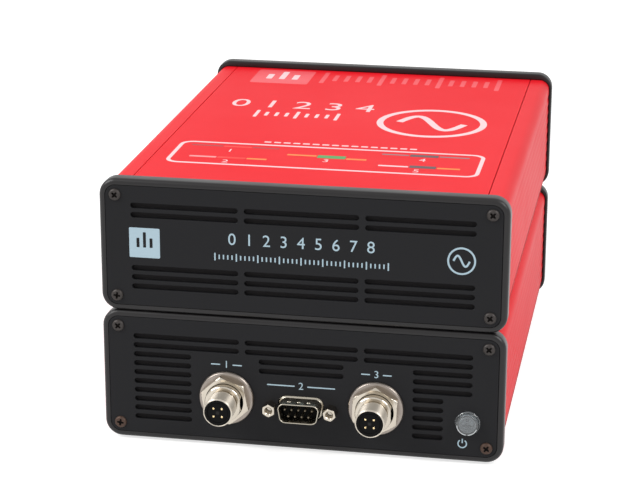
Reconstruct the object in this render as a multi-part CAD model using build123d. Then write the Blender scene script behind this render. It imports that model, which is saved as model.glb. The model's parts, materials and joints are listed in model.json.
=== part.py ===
from build123d import *
import os
from math import cos, radians, sin, tan

# Case: two equal decks, one on the other, each an extrusion between end bezels
CASE_DEPTH = 220.0
BEZEL_W = 165.0
BEZEL_H = 55.5
BEZEL_R = 7.0
BEZEL_DEPTH = 6.5
BEZEL_ROUND = 1.7
BEZEL_WEB_T = 1.2
BEZEL_LEDGE = 1.8
FOOT_DROP = 1.0

# Extruded housing and its slide-in cover
SIDE_INSET = 1.3
TOP_INSET = 2.9
HOUSING_R = 4.5
WALL = 2.2
SOCKET_PLAY = 0.2
SEAM_INSET = 10.1
SEAM_GAP = 0.4
COVER_T = 2.4
LIP_T = 1.2
TONGUE_D = 1.6
TONGUE_PLAY = 0.15
LEDGE_T = 1.3
LEDGE_D = 1.0
FLUTE_COUNT = 9
FLUTE_MARGIN = 3.8
FLUTE_RISE = 0.25
BOSS_R = 3.2
BOSS_WEB = 4.4

# Board guides, as ribs on the inside of the side walls
BOARD_T = 1.6
BOARD_DROP = 10.25
BOARD_PLAY = 0.4
GUIDE_D = 2.2
GUIDE_T = 1.2
GUIDE_PLAY = 0.2

# End panels and their corner screws
PANEL_T = 2.0
PANEL_MARGIN = 2.5
PANEL_R = 4.5
PANEL_PLAY = 0.15
SCREW_SIDE_INSET = 6.75
SCREW_TOP_INSET = 6.55
SCREW_HEAD_R = 2.5
SCREW_HEAD_T = 0.9
SCREW_TAPER = 0.8
SCREW_SHANK_R = 1.25
SCREW_LENGTH = 14.0
THREAD_PLAY = 0.05

# Vent slots, in rows and columns inside the panel's margins
SLOT_H = 2.3
SLOT_ROWS = 10
SLOT_TOP_INSET = 10.75
SLOT_LOW_INSET = 9.65
SLOT_SIDE_INSET = 13.0
SLOT_RIB = 2.4
LOWER_BLOCK_GAP = 14.7
LOWER_MID_X = 17.4
POWER_SLOT_GAP = 10.0
REAR_BLOCK_X = 16.0

# Cell connectors: M12 shells on a wide nut and washer
CELL_X = 30.8
CELL_RISE = 8.75
CELL_OUT = 17.0
CELL_TIP_R = 6.0
CELL_TIP_L = 8.6
CELL_NECK_R = 5.5
CELL_NECK_L = 0.8
CELL_BODY_R = 7.6
CELL_BODY_FLAT = 6.7
CELL_FLANGE_R = 9.5
CELL_FLANGE_T = 2.5
CELL_TAIL_R = 6.6
CELL_TAIL_L = 10.0
CELL_BORE_R = 5.2
CELL_FACE_INSET = 0.3
CELL_FACE_R = 4.3
CELL_FACE_D = 0.5
CELL_COLLAR_T = 1.0
CELL_TAIL_OUT = 2.0
WASHER_R = 11.5
WASHER_T = 1.5
WASHER_BEVEL = 0.6
NUT_AF = 18.0
NUT_T = 3.0
NUT_BEVEL = 0.8
NUT_TURN = {"working": 11.0, "counter": -2.0}
CONTACT_PITCH = 3.4
CONTACT_R = 0.5
CONTACT_OUT = 0.35
LEAD_W = 8.0
LEAD_T = 1.3
LEAD_BEND = 4.0
LEAD_OUT = 9.0

# Sense connector: nine pins in a D-shaped shell with two hexagonal jackscrews
SENSE_RISE = 6.3
SENSE_W = 16.9
SENSE_H = 8.4
SENSE_FLARE_W = 18.6
SENSE_FLARE_H = 10.2
SENSE_FLARE_T = 0.8
SENSE_R = 2.3
SENSE_FLANK = 10.0
SENSE_SHELL_T = 0.5
SENSE_OUT = 6.8
SENSE_FLOOR = 0.9
SENSE_FLANGE_W = 30.8
SENSE_FLANGE_H = 12.5
SENSE_FLANGE_T = 0.8
SENSE_BODY_D = 9.0
SENSE_PIN_R = 0.5
SENSE_PIN_PITCH = 2.77
SENSE_ROW_PITCH = 2.84
SENSE_PIN_INSET = 0.7
SENSE_TAIL = 0.6
SENSE_TAIL_STEP = 2.4
JACK_SPACING = 24.99
JACK_AF = 4.75
JACK_OUT = 5.3
JACK_HOLE_R = 1.42
JACK_HOLE_D = 4.6
JACK_SHANK_R = 1.65

# Power button: a clear cap in a clear ring, on a switch that stands on the board
POWER_INSET = 14.5
POWER_RISE = 5.0
POWER_CAP_R = 4.4
POWER_CAP_OUT = 2.6
POWER_RING_R = 5.1
POWER_RING_T = 0.6
POWER_SLEEVE_R = 4.9
POWER_SLEEVE_L = 4.5
POWER_PLAY = 0.2
POWER_TRAVEL = 1.5
POWER_COLLAR_R = 5.6
POWER_COLLAR_T = 0.8
POWER_STEM_R = 1.5
POWER_STEM_L = 5.0
SWITCH_W = 9.0
SWITCH_GAP = 2.4
SWITCH_D = 8.0
SWITCH_TOP = 3.6

# Joint between the decks
SPACER_R = 5.0
SPACER_SIDE_INSET = 27.5
SPACER_INSET = 30.0
DECK_SCREW_R = 2.0
DECK_SCREW_HEAD_R = 3.8
DECK_SCREW_HEAD_T = 2.2
DECK_SCREW_PLAY = 0.15
GROMMET_X = -40.0
GROMMET_Y = 118.0
GROMMET_L = 38.0
GROMMET_W = 9.0
GROMMET_WALL = 2.0
RIBBON_W = 27.0
RIBBON_T = 1.0
RIBBON_RISE = 13.0
RIBBON_REACH = 16.0
RIBBON_BEND = 4.0
HEADER_L = 32.0
HEADER_W = 6.0
HEADER_H = 8.0
RIBBON_SLOT_L = 34.0
RIBBON_SLOT_W = 8.0

# Feet under the lower housing
FOOT_R = 6.5
FOOT_SIDE_INSET = 20.5
FOOT_INSET = 24.0

# Rear of the upper deck: supply inlet and fan
INLET_INSET = 38.5
INLET_BODY_W = 27.0
INLET_BODY_H = 19.6
INLET_BODY_D = 18.5
INLET_FLANGE_W = 49.0
INLET_FLANGE_H = 23.0
INLET_FLANGE_T = 3.0
INLET_R = 2.0
INLET_CAVITY_W = 24.0
INLET_CAVITY_H = 16.6
INLET_CAVITY_D = 16.0
INLET_CAVITY_BEVEL = 4.0
INLET_PIN_X = 7.0
INLET_PIN_W = 2.0
INLET_PIN_H = 4.0
INLET_PIN_L = 14.0
INLET_PIN_DROP = 2.0
INLET_TAIL = 5.0
INLET_SCREW_X = 20.0
INLET_SCREW_R = 1.5
INLET_SCREW_HEAD_R = 2.9
INLET_SCREW_HEAD_T = 1.4
INLET_SCREW_L = 8.0
CUTOUT_PLAY = 0.25
FAN_INSET = 36.5
FAN_HEADROOM = 2.45
FAN_R = 3.0
FAN_D = 10.0
FAN_WALL = 1.0
FAN_HOLE_INSET = 4.0
FAN_HOLE_R = 1.6
FAN_SCREW_HEAD_R = 3.0
FAN_SCREW_HEAD_T = 1.6
FAN_HUB_R = 10.0
FAN_HUB_PLATE = 1.6
FAN_STRUT_W = 2.6
FAN_TIP_GAP = 0.8
FAN_BLADE_COUNT = 7
FAN_BLADE_T = 1.0
FAN_BLADE_TILT = 38.0
FAN_BLADE_CHORD = 8.6
FAN_SHAFT_R = 1.0
FAN_SHAFT_PLAY = 0.05
FAN_BEARING_R = 2.6
FAN_BEARING_L = 3.0
FAN_GAP = 0.6

# Rear of the lower deck: data socket and earth socket
USB_X = 18.0
USB_W = 12.0
USB_H = 11.0
USB_D = 16.0
USB_CAVITY_W = 8.5
USB_CAVITY_H = 7.8
USB_CAVITY_D = 9.0
USB_BEVEL = 2.0
USB_TONGUE_W = 5.6
USB_TONGUE_H = 3.2
USB_TONGUE_INSET = 1.0
USB_OUT = 0.4
EARTH_X = 44.0
EARTH_RISE = 9.9
EARTH_END_T = 2.0
EARTH_BORE_R = 2.0
EARTH_BORE_D = 14.0
EARTH_TUBE_R = 3.0
EARTH_COLLAR_R = 5.5
EARTH_COLLAR_T = 3.0
EARTH_NUT_AF = 9.0
EARTH_NUT_T = 2.5
EARTH_TAG_W = 4.0
EARTH_TAG_T = 0.8

# Boards and what stands on them
BOARD_INSET = 1.0
SHIELD_W = 62.0
SHIELD_L = 46.0
SHIELD_H = 7.5
SHIELD_T = 0.6
SHIELD_Y = 60.0
RELAY_W = 10.0
RELAY_L = 20.0
RELAY_H = 8.0
RELAY_PITCH = 14.0
RELAY_COUNT = 5
RELAY_Y = 60.0
CHIP_WIDTHS = (14.0, 9.0, 7.0)
CHIP_LENGTHS = (14.0, 12.0, 7.0)
CHIP_HEIGHTS = (1.4, 2.2, 1.2)
CHIP_X = 12.0
CHIP_Y = 118.0
CHIP_PITCH = 22.0
SINK_W = 46.0
SINK_Y = 70.0
SINK_REAR_GAP = 30.0
SINK_BASE = 5.0
SINK_FIN_COUNT = 9
SINK_FIN_T = 1.5
SINK_HEADROOM = 6.35
SINK_LIFT = 6.0
DEVICE_W = 10.2
DEVICE_L = 15.0
DEVICE_T = 4.5
DEVICE_COUNT = 4
DEVICE_INSET = 13.5
DEVICE_LEG = 1.0
CORE_X = -44.0
CORE_Y = 60.0
CORE_W = 34.0
CORE_L = 28.0
CORE_H = 24.0
CORE_LIMB = 6.0
CORE_WINDOW_H = 14.0
COIL_PLAY = 0.5
COIL_OVERHANG = 5.0
CAPACITOR_R = 8.0
CAPACITOR_H = 26.0
CAPACITOR_INSET = 20.5
CAPACITOR_PITCH = 19.0
CAPACITOR_GAP = 1.5

# Sizes that follow from those above
HALF_W = BEZEL_W / 2
HALF_H = BEZEL_H / 2
HOUSING_W = BEZEL_W - 2 * SIDE_INSET
HOUSING_H = BEZEL_H - 2 * TOP_INSET
HOUSING_TOP = HOUSING_H / 2
WALL_X = HOUSING_W / 2 - WALL
SEAM_X = HALF_W - SEAM_INSET
COVER_Z = HOUSING_TOP - COVER_T
HOUSING_FRONT = PANEL_T + BEZEL_WEB_T
HOUSING_BACK = CASE_DEPTH - HOUSING_FRONT
FLUTE_PITCH = (HOUSING_H - 2 * FLUTE_MARGIN) / FLUTE_COUNT
PANEL_W = BEZEL_W - 2 * PANEL_MARGIN
PANEL_H = BEZEL_H - 2 * PANEL_MARGIN
PANEL_BACK = PANEL_T
SCREW_X = HALF_W - SCREW_SIDE_INSET
SCREW_Z = HALF_H - SCREW_TOP_INSET
SLOT_TOP_Z = HALF_H - SLOT_TOP_INSET
SLOT_PITCH = (BEZEL_H - SLOT_TOP_INSET - SLOT_LOW_INSET) / (SLOT_ROWS - 1)
SLOT_EDGE_X = HALF_W - SLOT_SIDE_INSET
SLOT_MID_X = SLOT_EDGE_X / 3
POWER_X = HALF_W - POWER_INSET
LOWER_BLOCK_X = CELL_X + LOWER_BLOCK_GAP
LOWER_STUB_X = POWER_X - POWER_SLOT_GAP
BOARD_Z = BOARD_DROP - HALF_H
BOARD_TOP = BOARD_Z + BOARD_T
BOARD_FRONT = BEZEL_DEPTH + BOARD_INSET
BOARD_BACK = CASE_DEPTH - BOARD_FRONT
BOARD_W = 2 * (WALL_X - BOARD_PLAY)
CELL_Z = BOARD_TOP + CELL_RISE
SENSE_Z = BOARD_TOP + SENSE_RISE
POWER_Z = BOARD_TOP + POWER_RISE
EARTH_Z = BOARD_TOP + EARTH_RISE
INLET_Z = BOARD_TOP + INLET_BODY_H / 2
USB_Z = BOARD_TOP + USB_H / 2
FRONT_Y = CELL_OUT - (CELL_OUT + CASE_DEPTH + INLET_FLANGE_T) / 2
LOWER_Z = FOOT_DROP + HALF_H
UPPER_Z = LOWER_Z + BEZEL_H
DECK_GAP = 2 * TOP_INSET
SPACER_X = HALF_W - SPACER_SIDE_INSET
SPACER_Y = (HOUSING_FRONT + SPACER_INSET, HOUSING_BACK - SPACER_INSET)
FOOT_X = HALF_W - FOOT_SIDE_INSET
INLET_X = INLET_INSET - HALF_W
FAN_X = HALF_W - FAN_INSET
FAN_BACK = CASE_DEPTH - PANEL_T
FAN_SIZE = 2 * (COVER_Z - FAN_HEADROOM)
FAN_BORE_R = FAN_SIZE / 2 - FAN_WALL
FAN_HOLE_X = FAN_SIZE / 2 - FAN_HOLE_INSET
FAN_BLADE_TIP_R = FAN_BORE_R - FAN_TIP_GAP
SINK_L = CASE_DEPTH - SINK_REAR_GAP - SINK_Y
SINK_TOP = COVER_Z - SINK_HEADROOM
DEVICE_PITCH = (SINK_L - DEVICE_L - 2 * DEVICE_INSET) / (DEVICE_COUNT - 1)
CAPACITOR_X = (CAPACITOR_INSET - HALF_W, CAPACITOR_INSET + CAPACITOR_PITCH - HALF_W)
CAPACITOR_Y = CORE_Y + CORE_L + COIL_OVERHANG + CAPACITOR_GAP + CAPACITOR_R


# Shapes in the case's own frame: X across, Y depth from the front face, Z up
def rect(left, right, low, high):
    """Flat rectangle of an X-Z section between its edges."""
    return Pos((left + right) / 2, (low + high) / 2) * Rectangle(right - left, high - low)


def run(section, front, back):
    """Solid of an X-Z section between two depths."""
    return extrude(Plane.XZ.offset(-back) * section, back - front)


def block(x, y, z):
    """Box between a low and a high place on X, Y and Z."""
    return run(rect(*x, *z), *y)


def rod(radius, front, back, x=0.0, z=0.0):
    """Round bar along the depth."""
    return run(Pos(x, z) * Circle(radius), front, back)


def post(radius, low, high, x=0.0, y=0.0):
    """Round bar that stands up."""
    return extrude(Plane.XY.offset(low) * Pos(x, y) * Circle(radius), high - low)


def turned(*profile):
    """Solid turned about the depth axis from (radius, depth) points."""
    return revolve(make_face(Polyline(*profile, close=True)), Axis.Y)


def both_sides(shape):
    """A section's left half added to its right half."""
    return shape + mirror(shape, Plane.YZ)


def corners(x, y):
    """The four points at plus and minus x and y."""
    return [(sx * x, sy * y) for sx in (-1, 1) for sy in (-1, 1)]


def at_rear(shape):
    """A front-end piece turned round to the rear end."""
    return Pos(0, CASE_DEPTH, 0) * mirror(shape, Plane.XZ)


def group(solids):
    """Separate solids that share one node."""
    return Compound(children=[s for shape in solids for s in shape.solids()])


# Extruded housing
def flute_cut():
    """Area taken off the right side wall to leave a row of shallow round flutes."""
    edge = HOUSING_W / 2
    radius = (FLUTE_PITCH**2 / 4 + FLUTE_RISE**2) / (2 * FLUTE_RISE)
    zone = FLUTE_COUNT * FLUTE_PITCH / 2
    cut = rect(edge - FLUTE_RISE, edge + FLUTE_RISE, -zone, zone)
    for i in range(FLUTE_COUNT):
        cut -= Pos(edge - radius, (i + 0.5) * FLUTE_PITCH - zone) * Circle(radius)
    return cut


def housing_section():
    """Section of the tray: fluted sides, screw bosses, board guides and cover grooves."""
    outer = RectangleRounded(HOUSING_W, HOUSING_H, HOUSING_R) - both_sides(flute_cut())
    inner = RectangleRounded(2 * WALL_X, HOUSING_H - 2 * WALL, HOUSING_R - WALL)
    guide_top = BOARD_TOP + GUIDE_PLAY
    side = rect(SEAM_X - LEDGE_D, WALL_X, COVER_Z - LEDGE_T, HOUSING_TOP)
    side += rect(WALL_X - GUIDE_D, WALL_X, BOARD_Z - GUIDE_T, BOARD_Z)
    side += rect(WALL_X - GUIDE_D, WALL_X, guide_top, guide_top + GUIDE_T)
    for z in (-SCREW_Z, SCREW_Z):
        side += Pos(SCREW_X, z) * Circle(BOSS_R)
        side += rect(SCREW_X, WALL_X, z - BOSS_WEB / 2, z + BOSS_WEB / 2)
    section = (outer - inner + both_sides(side)) & outer
    section -= rect(-SEAM_X, SEAM_X, COVER_Z, HOUSING_TOP)
    groove_x = SEAM_X + TONGUE_D
    section -= rect(-groove_x, groove_x, COVER_Z, HOUSING_TOP - LIP_T)
    for x, z in corners(SCREW_X, SCREW_Z):
        section -= Pos(x, z) * Circle(SCREW_SHANK_R + THREAD_PLAY)
    return section


def housing():
    """Extruded tray about the deck's centre line."""
    return run(housing_section(), HOUSING_FRONT, HOUSING_BACK)


def cover():
    """Flat lid with a tongue down each side that runs in the housing's grooves."""
    plate_x = SEAM_X - SEAM_GAP
    tongue_x = SEAM_X + TONGUE_D - TONGUE_PLAY
    section = rect(-plate_x, plate_x, COVER_Z, HOUSING_TOP)
    section += rect(-tongue_x, tongue_x, COVER_Z, HOUSING_TOP - LIP_T - TONGUE_PLAY)
    return run(section, HOUSING_FRONT, HOUSING_BACK)


def bezel():
    """Moulded end frame that sits over the housing's end and holds the panel."""
    frame = run(RectangleRounded(BEZEL_W, BEZEL_H, BEZEL_R), 0, BEZEL_DEPTH)
    frame = fillet(frame.faces().sort_by(Axis.Y)[0].edges(), BEZEL_ROUND)
    frame -= run(RectangleRounded(PANEL_W, PANEL_H, PANEL_R), 0, PANEL_T)
    opening = RectangleRounded(
        PANEL_W - 2 * BEZEL_LEDGE, PANEL_H - 2 * BEZEL_LEDGE, PANEL_R - BEZEL_LEDGE
    )
    frame -= run(opening, PANEL_T, HOUSING_FRONT)
    socket = RectangleRounded(
        HOUSING_W + 2 * SOCKET_PLAY, HOUSING_H + 2 * SOCKET_PLAY, HOUSING_R + SOCKET_PLAY
    )
    return frame - run(socket, HOUSING_FRONT, BEZEL_DEPTH)


# End panels
def row_z(row):
    """Height of a row of vent slots, counted down from the top one."""
    return SLOT_TOP_Z - row * SLOT_PITCH


def slot_row(z, *spans):
    """Vent slots at one height between pairs of X."""
    return [rect(a, b, z - SLOT_H / 2, z + SLOT_H / 2) for a, b in spans]


def blank_panel():
    """Panel plate with its four screw holes, at the front."""
    plate = RectangleRounded(PANEL_W - 2 * PANEL_PLAY, PANEL_H - 2 * PANEL_PLAY, PANEL_R)
    for x, z in corners(SCREW_X, SCREW_Z):
        plate -= Pos(x, z) * Circle(SCREW_SHANK_R + THREAD_PLAY)
    return plate


def full_row():
    """Spans of a row of three wide slots."""
    wide = (SLOT_MID_X + SLOT_RIB, SLOT_EDGE_X)
    return [(-wide[1], -wide[0]), (-SLOT_MID_X, SLOT_MID_X), wide]


def upper_front_section():
    """Front panel of the upper deck, with two rows of slots above and three below."""
    plate = blank_panel()
    for z in (row_z(0), row_z(1), -row_z(0), -row_z(1), -row_z(2)):
        plate -= slot_row(z, *full_row())
    return plate


def lower_front_section():
    """Front panel of the lower deck: slots around the connectors and the button."""
    plate = blank_panel()
    for row in range(2):
        plate -= slot_row(row_z(row), *full_row())
    for row in range(2, SLOT_ROWS):
        right = SLOT_EDGE_X if row < 5 else LOWER_STUB_X
        spans = [(-SLOT_EDGE_X, -LOWER_BLOCK_X), (LOWER_BLOCK_X, right)]
        if row < 4:
            spans.append((-LOWER_MID_X, LOWER_MID_X))
        plate -= slot_row(row_z(row), *spans)
    for x in (-CELL_X, CELL_X):
        plate -= Pos(x, CELL_Z) * cell_thread(SOCKET_PLAY)
    plate -= Pos(0, SENSE_Z) * d_outline(SENSE_FLARE_W, SENSE_FLARE_H, SOCKET_PLAY)
    for side in (-1, 1):
        plate -= Pos(side * JACK_SPACING / 2, SENSE_Z) * Circle(JACK_SHANK_R + THREAD_PLAY)
    plate -= Pos(POWER_X, POWER_Z) * Circle(POWER_SLEEVE_R + THREAD_PLAY)
    return plate


def upper_rear_section():
    """Rear panel of the upper deck: slots over the fan, and the inlet's opening."""
    plate = blank_panel()
    reach = FAN_BORE_R - SLOT_H
    rows = int(reach / SLOT_PITCH)
    for row in range(-rows, rows + 1):
        z = row * SLOT_PITCH
        half = (reach**2 - z**2) ** 0.5
        plate -= slot_row(z, (FAN_X - half, FAN_X + half))
    for x, z in corners(FAN_HOLE_X, FAN_HOLE_X):
        plate -= Pos(FAN_X + x, z) * Circle(FAN_HOLE_R)
    half_w = INLET_BODY_W / 2 + CUTOUT_PLAY
    half_h = INLET_BODY_H / 2 + CUTOUT_PLAY
    plate -= rect(INLET_X - half_w, INLET_X + half_w, INLET_Z - half_h, INLET_Z + half_h)
    for side in (-1, 1):
        plate -= Pos(INLET_X + side * INLET_SCREW_X, INLET_Z) * Circle(INLET_SCREW_R + THREAD_PLAY)
    return plate


def lower_rear_section():
    """Rear panel of the lower deck: slots, data socket and earth socket."""
    plate = blank_panel()
    for row in range(2):
        plate -= slot_row(row_z(row), *full_row())
    for row in range(2, SLOT_ROWS - 2):
        plate -= slot_row(row_z(row), (-SLOT_EDGE_X, -REAR_BLOCK_X))
    half_w = USB_W / 2 + CUTOUT_PLAY
    half_h = USB_H / 2 + CUTOUT_PLAY
    plate -= rect(USB_X - half_w, USB_X + half_w, USB_Z - half_h, USB_Z + half_h)
    return plate - Pos(EARTH_X, EARTH_Z) * Circle(EARTH_TUBE_R + THREAD_PLAY)


def screw(head_r, head_t, shank_r, length):
    """Screw that points along the depth, with the underside of its head at zero."""
    return turned(
        (0, -head_t), (head_r * SCREW_TAPER, -head_t), (head_r, 0),
        (shank_r, 0), (shank_r, length), (0, length),
    )


def panel_screws():
    """The corner screws of one deck's front and rear panels."""
    front = screw(SCREW_HEAD_R, SCREW_HEAD_T, SCREW_SHANK_R, SCREW_LENGTH)
    front_set = [Pos(x, 0, z) * front for x, z in corners(SCREW_X, SCREW_Z)]
    return group(front_set + [at_rear(s) for s in front_set])


# Cell connectors
def cell_thread(play=0.0):
    """Section of the shell's mounting thread: a circle with one flat."""
    radius = CELL_BODY_R + play
    return Circle(radius) - rect(CELL_BODY_FLAT + play, radius + 1, -radius, radius)


def cell_shell():
    """Plated shell: rear flange, flatted thread, neck and round tip."""
    body_front = CELL_TIP_L + CELL_NECK_L - CELL_OUT
    shell = run(cell_thread(), body_front, PANEL_BACK)
    shell += rod(CELL_NECK_R, body_front - CELL_NECK_L, body_front)
    shell += rod(CELL_TIP_R, -CELL_OUT, CELL_TIP_L - CELL_OUT)
    shell += rod(CELL_FLANGE_R, PANEL_BACK, PANEL_BACK + CELL_FLANGE_T)
    shell += rod(CELL_TAIL_R, PANEL_BACK + CELL_FLANGE_T, PANEL_BACK + CELL_TAIL_L)
    return shell - rod(CELL_BORE_R, -CELL_OUT, PANEL_BACK + CELL_TAIL_L)


def cell_washer():
    """Broad washer with a bevelled rim, flat on the panel."""
    hole_r = CELL_BODY_R + SOCKET_PLAY
    return turned(
        (hole_r, 0), (WASHER_R, 0), (WASHER_R, WASHER_BEVEL - WASHER_T),
        (WASHER_R - WASHER_BEVEL, -WASHER_T), (hole_r, -WASHER_T),
    )


def cell_nut(turn):
    """Hexagonal nut on the washer, with its front corners turned off."""
    front = -WASHER_T - NUT_T
    hexagon = RegularPolygon(NUT_AF / 2, 6, major_radius=False, rotation=turn)
    hexagon -= Circle(CELL_BODY_R + THREAD_PLAY)
    wide = NUT_AF / 2 + 2 * NUT_BEVEL
    blank = turned(
        (0, front), (NUT_AF / 2, front), (wide, front + NUT_BEVEL), (wide, -WASHER_T), (0, -WASHER_T),
    )
    return run(hexagon, front, -WASHER_T) & blank


def contact_places():
    """Centres of a cell connector's four contacts."""
    return corners(CONTACT_PITCH / 2, CONTACT_PITCH / 2)


def cell_insert():
    """Moulded insert that fills the shell, with a collar behind it."""
    front = CELL_FACE_INSET - CELL_OUT
    back = PANEL_BACK + CELL_TAIL_L
    insert = rod(CELL_BORE_R, front, back) + rod(CELL_TAIL_R, back, back + CELL_COLLAR_T)
    insert -= rod(CELL_FACE_R, front, front + CELL_FACE_D)
    for x, z in contact_places():
        insert -= rod(CONTACT_R, front + CELL_FACE_D, back + CELL_COLLAR_T, x, z)
    return insert


def cell_contacts():
    """Four contacts through the insert, a little proud of its face."""
    front = CELL_FACE_INSET + CELL_FACE_D - CONTACT_OUT - CELL_OUT
    back = PANEL_BACK + CELL_TAIL_L + CELL_TAIL_OUT
    return [rod(CONTACT_R, front, back, x, z) for x, z in contact_places()]


def cell_lead():
    """Flat lead from the contacts' tails down to the board."""
    start = PANEL_BACK + CELL_TAIL_L + CELL_TAIL_OUT
    path = FilletPolyline(
        (start, 0), (start + LEAD_OUT, 0), (start + LEAD_OUT, BOARD_TOP - CELL_Z), radius=LEAD_BEND
    )
    ribbon = extrude(Plane.YZ.offset(-LEAD_W / 2) * trace(path, LEAD_T), LEAD_W)
    return ribbon


# Sense connector
def d_outline(width, height, play=0.0):
    """D-shaped outline, wide side up, with flanks that lean in towards the bottom."""
    lean = height * tan(radians(SENSE_FLANK)) / 2
    top = width / 2 + play
    bottom = width / 2 - 2 * lean + play
    half = height / 2 + play
    outline = make_face(Polyline((-top, half), (top, half), (bottom, -half), (-bottom, -half), close=True))
    return fillet(outline.vertices(), SENSE_R)


def sense_shell():
    """Pressed shell with its flare and flange."""
    wall = 2 * SENSE_SHELL_T
    flange_back = PANEL_BACK + SENSE_FLANGE_T
    shell = run(d_outline(SENSE_W, SENSE_H), -SENSE_OUT, flange_back)
    shell += run(d_outline(SENSE_FLARE_W, SENSE_FLARE_H), PANEL_BACK - SENSE_FLARE_T, PANEL_BACK)
    flange = RectangleRounded(SENSE_FLANGE_W, SENSE_FLANGE_H, SENSE_R)
    for side in (-1, 1):
        flange -= Pos(side * JACK_SPACING / 2, 0) * Circle(JACK_SHANK_R + THREAD_PLAY)
    shell += run(flange, PANEL_BACK, flange_back)
    return shell - run(d_outline(SENSE_W - wall, SENSE_H - wall), -SENSE_OUT, flange_back)


def sense_pin_places():
    """Centres of the nine pins: five above four."""
    top = [((i - 2) * SENSE_PIN_PITCH, SENSE_ROW_PITCH / 2) for i in range(5)]
    bottom = [((i - 1.5) * SENSE_PIN_PITCH, -SENSE_ROW_PITCH / 2) for i in range(4)]
    return top + bottom


def sense_block():
    """Moulded block behind the flange, with a tongue up into the shell."""
    wall = 2 * SENSE_SHELL_T
    flange_back = PANEL_BACK + SENSE_FLANGE_T
    back = flange_back + SENSE_BODY_D
    foot = BOARD_TOP - SENSE_Z
    base = rect(-SENSE_FLANGE_W / 2, SENSE_FLANGE_W / 2, foot, SENSE_FLANGE_H / 2)
    for side in (-1, 1):
        base -= Pos(side * JACK_SPACING / 2, 0) * Circle(JACK_SHANK_R + THREAD_PLAY)
    block_part = run(base, flange_back, back)
    block_part += run(d_outline(SENSE_W - wall, SENSE_H - wall), -SENSE_FLOOR, flange_back)
    for x, z in sense_pin_places():
        block_part -= rod(SENSE_PIN_R, -SENSE_FLOOR, back, x, z)
    return block_part


def sense_pins():
    """Nine pins, each with a square tail bent down to the board."""
    back = PANEL_BACK + SENSE_FLANGE_T + SENSE_BODY_D
    foot = BOARD_TOP - SENSE_Z
    half = SENSE_TAIL / 2
    pins = []
    for x, z in sense_pin_places():
        reach = back + SENSE_TAIL_STEP * (1 if z > 0 else 0.5)
        pin = rod(SENSE_PIN_R, SENSE_PIN_INSET - SENSE_OUT, back, x, z)
        pin += block((x - half, x + half), (back, reach + half), (z - half, z + half))
        pin += block((x - half, x + half), (reach - half, reach + half), (foot, z + half))
        pins.append(pin)
    return pins


def jackscrew():
    """Hexagonal standing screw with a threaded hole in its end."""
    hexagon = RegularPolygon(JACK_AF / 2, 6, major_radius=False)
    back = PANEL_BACK + SENSE_FLANGE_T + SENSE_BODY_D
    body = run(hexagon, -JACK_OUT, 0) + rod(JACK_SHANK_R, 0, back)
    return body - rod(JACK_HOLE_R, -JACK_OUT, JACK_HOLE_D - JACK_OUT)


# Power button
def power_ring():
    """Clear bush in the panel, with a thin flange in front."""
    bore = POWER_CAP_R + POWER_PLAY
    return turned(
        (bore, -POWER_RING_T), (POWER_RING_R, -POWER_RING_T), (POWER_RING_R, 0),
        (POWER_SLEEVE_R, 0), (POWER_SLEEVE_R, POWER_SLEEVE_L), (bore, POWER_SLEEVE_L),
    )


def power_cap():
    """Clear cap with the collar that keeps it in, and the stem that works the switch."""
    collar = POWER_SLEEVE_L + POWER_PLAY / 2
    back = collar + POWER_COLLAR_T
    return turned(
        (0, -POWER_CAP_OUT), (POWER_CAP_R, -POWER_CAP_OUT), (POWER_CAP_R, collar),
        (POWER_COLLAR_R, collar), (POWER_COLLAR_R, back), (POWER_STEM_R, back),
        (POWER_STEM_R, back + POWER_STEM_L), (0, back + POWER_STEM_L),
    )


def power_switch():
    """Switch that stands on the board, with a hole for the cap's stem."""
    collar_back = POWER_SLEEVE_L + POWER_PLAY / 2 + POWER_COLLAR_T
    front = collar_back + SWITCH_GAP
    half = SWITCH_W / 2
    foot = BOARD_TOP - POWER_Z
    body = block((-half, half), (front, front + SWITCH_D), (foot, SWITCH_TOP))
    hole_back = collar_back + POWER_STEM_L + POWER_TRAVEL + POWER_PLAY
    return body - rod(POWER_STEM_R + POWER_PLAY, front, hole_back)


# Joint between the decks, in the frame of the whole case
def spacer_places():
    """Plan places of the spacers between the decks."""
    return [(side * SPACER_X, y) for side in (-1, 1) for y in SPACER_Y]


def deck_floor():
    """Height of the upper housing's underside."""
    return UPPER_Z - HOUSING_TOP


def spacers():
    """Round spacers between the lower cover and the upper housing."""
    low = deck_floor() - DECK_GAP
    ring = Circle(SPACER_R) - Circle(DECK_SCREW_R + DECK_SCREW_PLAY)
    return [extrude(Plane.XY.offset(low) * Pos(x, y) * ring, DECK_GAP) for x, y in spacer_places()]


def deck_screws():
    """Screws from below the lower cover up into the upper housing's floor."""
    under = deck_floor() - DECK_GAP - COVER_T
    top = deck_floor() + WALL
    screws = []
    for x, y in spacer_places():
        head = post(DECK_SCREW_HEAD_R, under - DECK_SCREW_HEAD_T, under, x, y)
        screws.append(head + post(DECK_SCREW_R, under, top, x, y))
    return screws


def drill_deck(shape, low, high):
    """Screw holes and the grommet's hole through one wall between the decks."""
    for x, y in spacer_places():
        shape -= post(DECK_SCREW_R + DECK_SCREW_PLAY, low, high, x, y)
    hole = Pos(GROMMET_X, GROMMET_Y) * SlotOverall(GROMMET_L, GROMMET_W)
    return shape - extrude(Plane.XY.offset(low) * hole, high - low)


def grommet():
    """Rubber sleeve round the ribbon, from one deck into the other."""
    low = deck_floor() - DECK_GAP - COVER_T
    high = deck_floor() + WALL
    outer = SlotOverall(GROMMET_L, GROMMET_W)
    hole = SlotOverall(GROMMET_L - 2 * GROMMET_WALL, GROMMET_W - 2 * GROMMET_WALL)
    return extrude(Plane.XY.offset(low) * Pos(GROMMET_X, GROMMET_Y) * (outer - hole), high - low)


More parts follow.
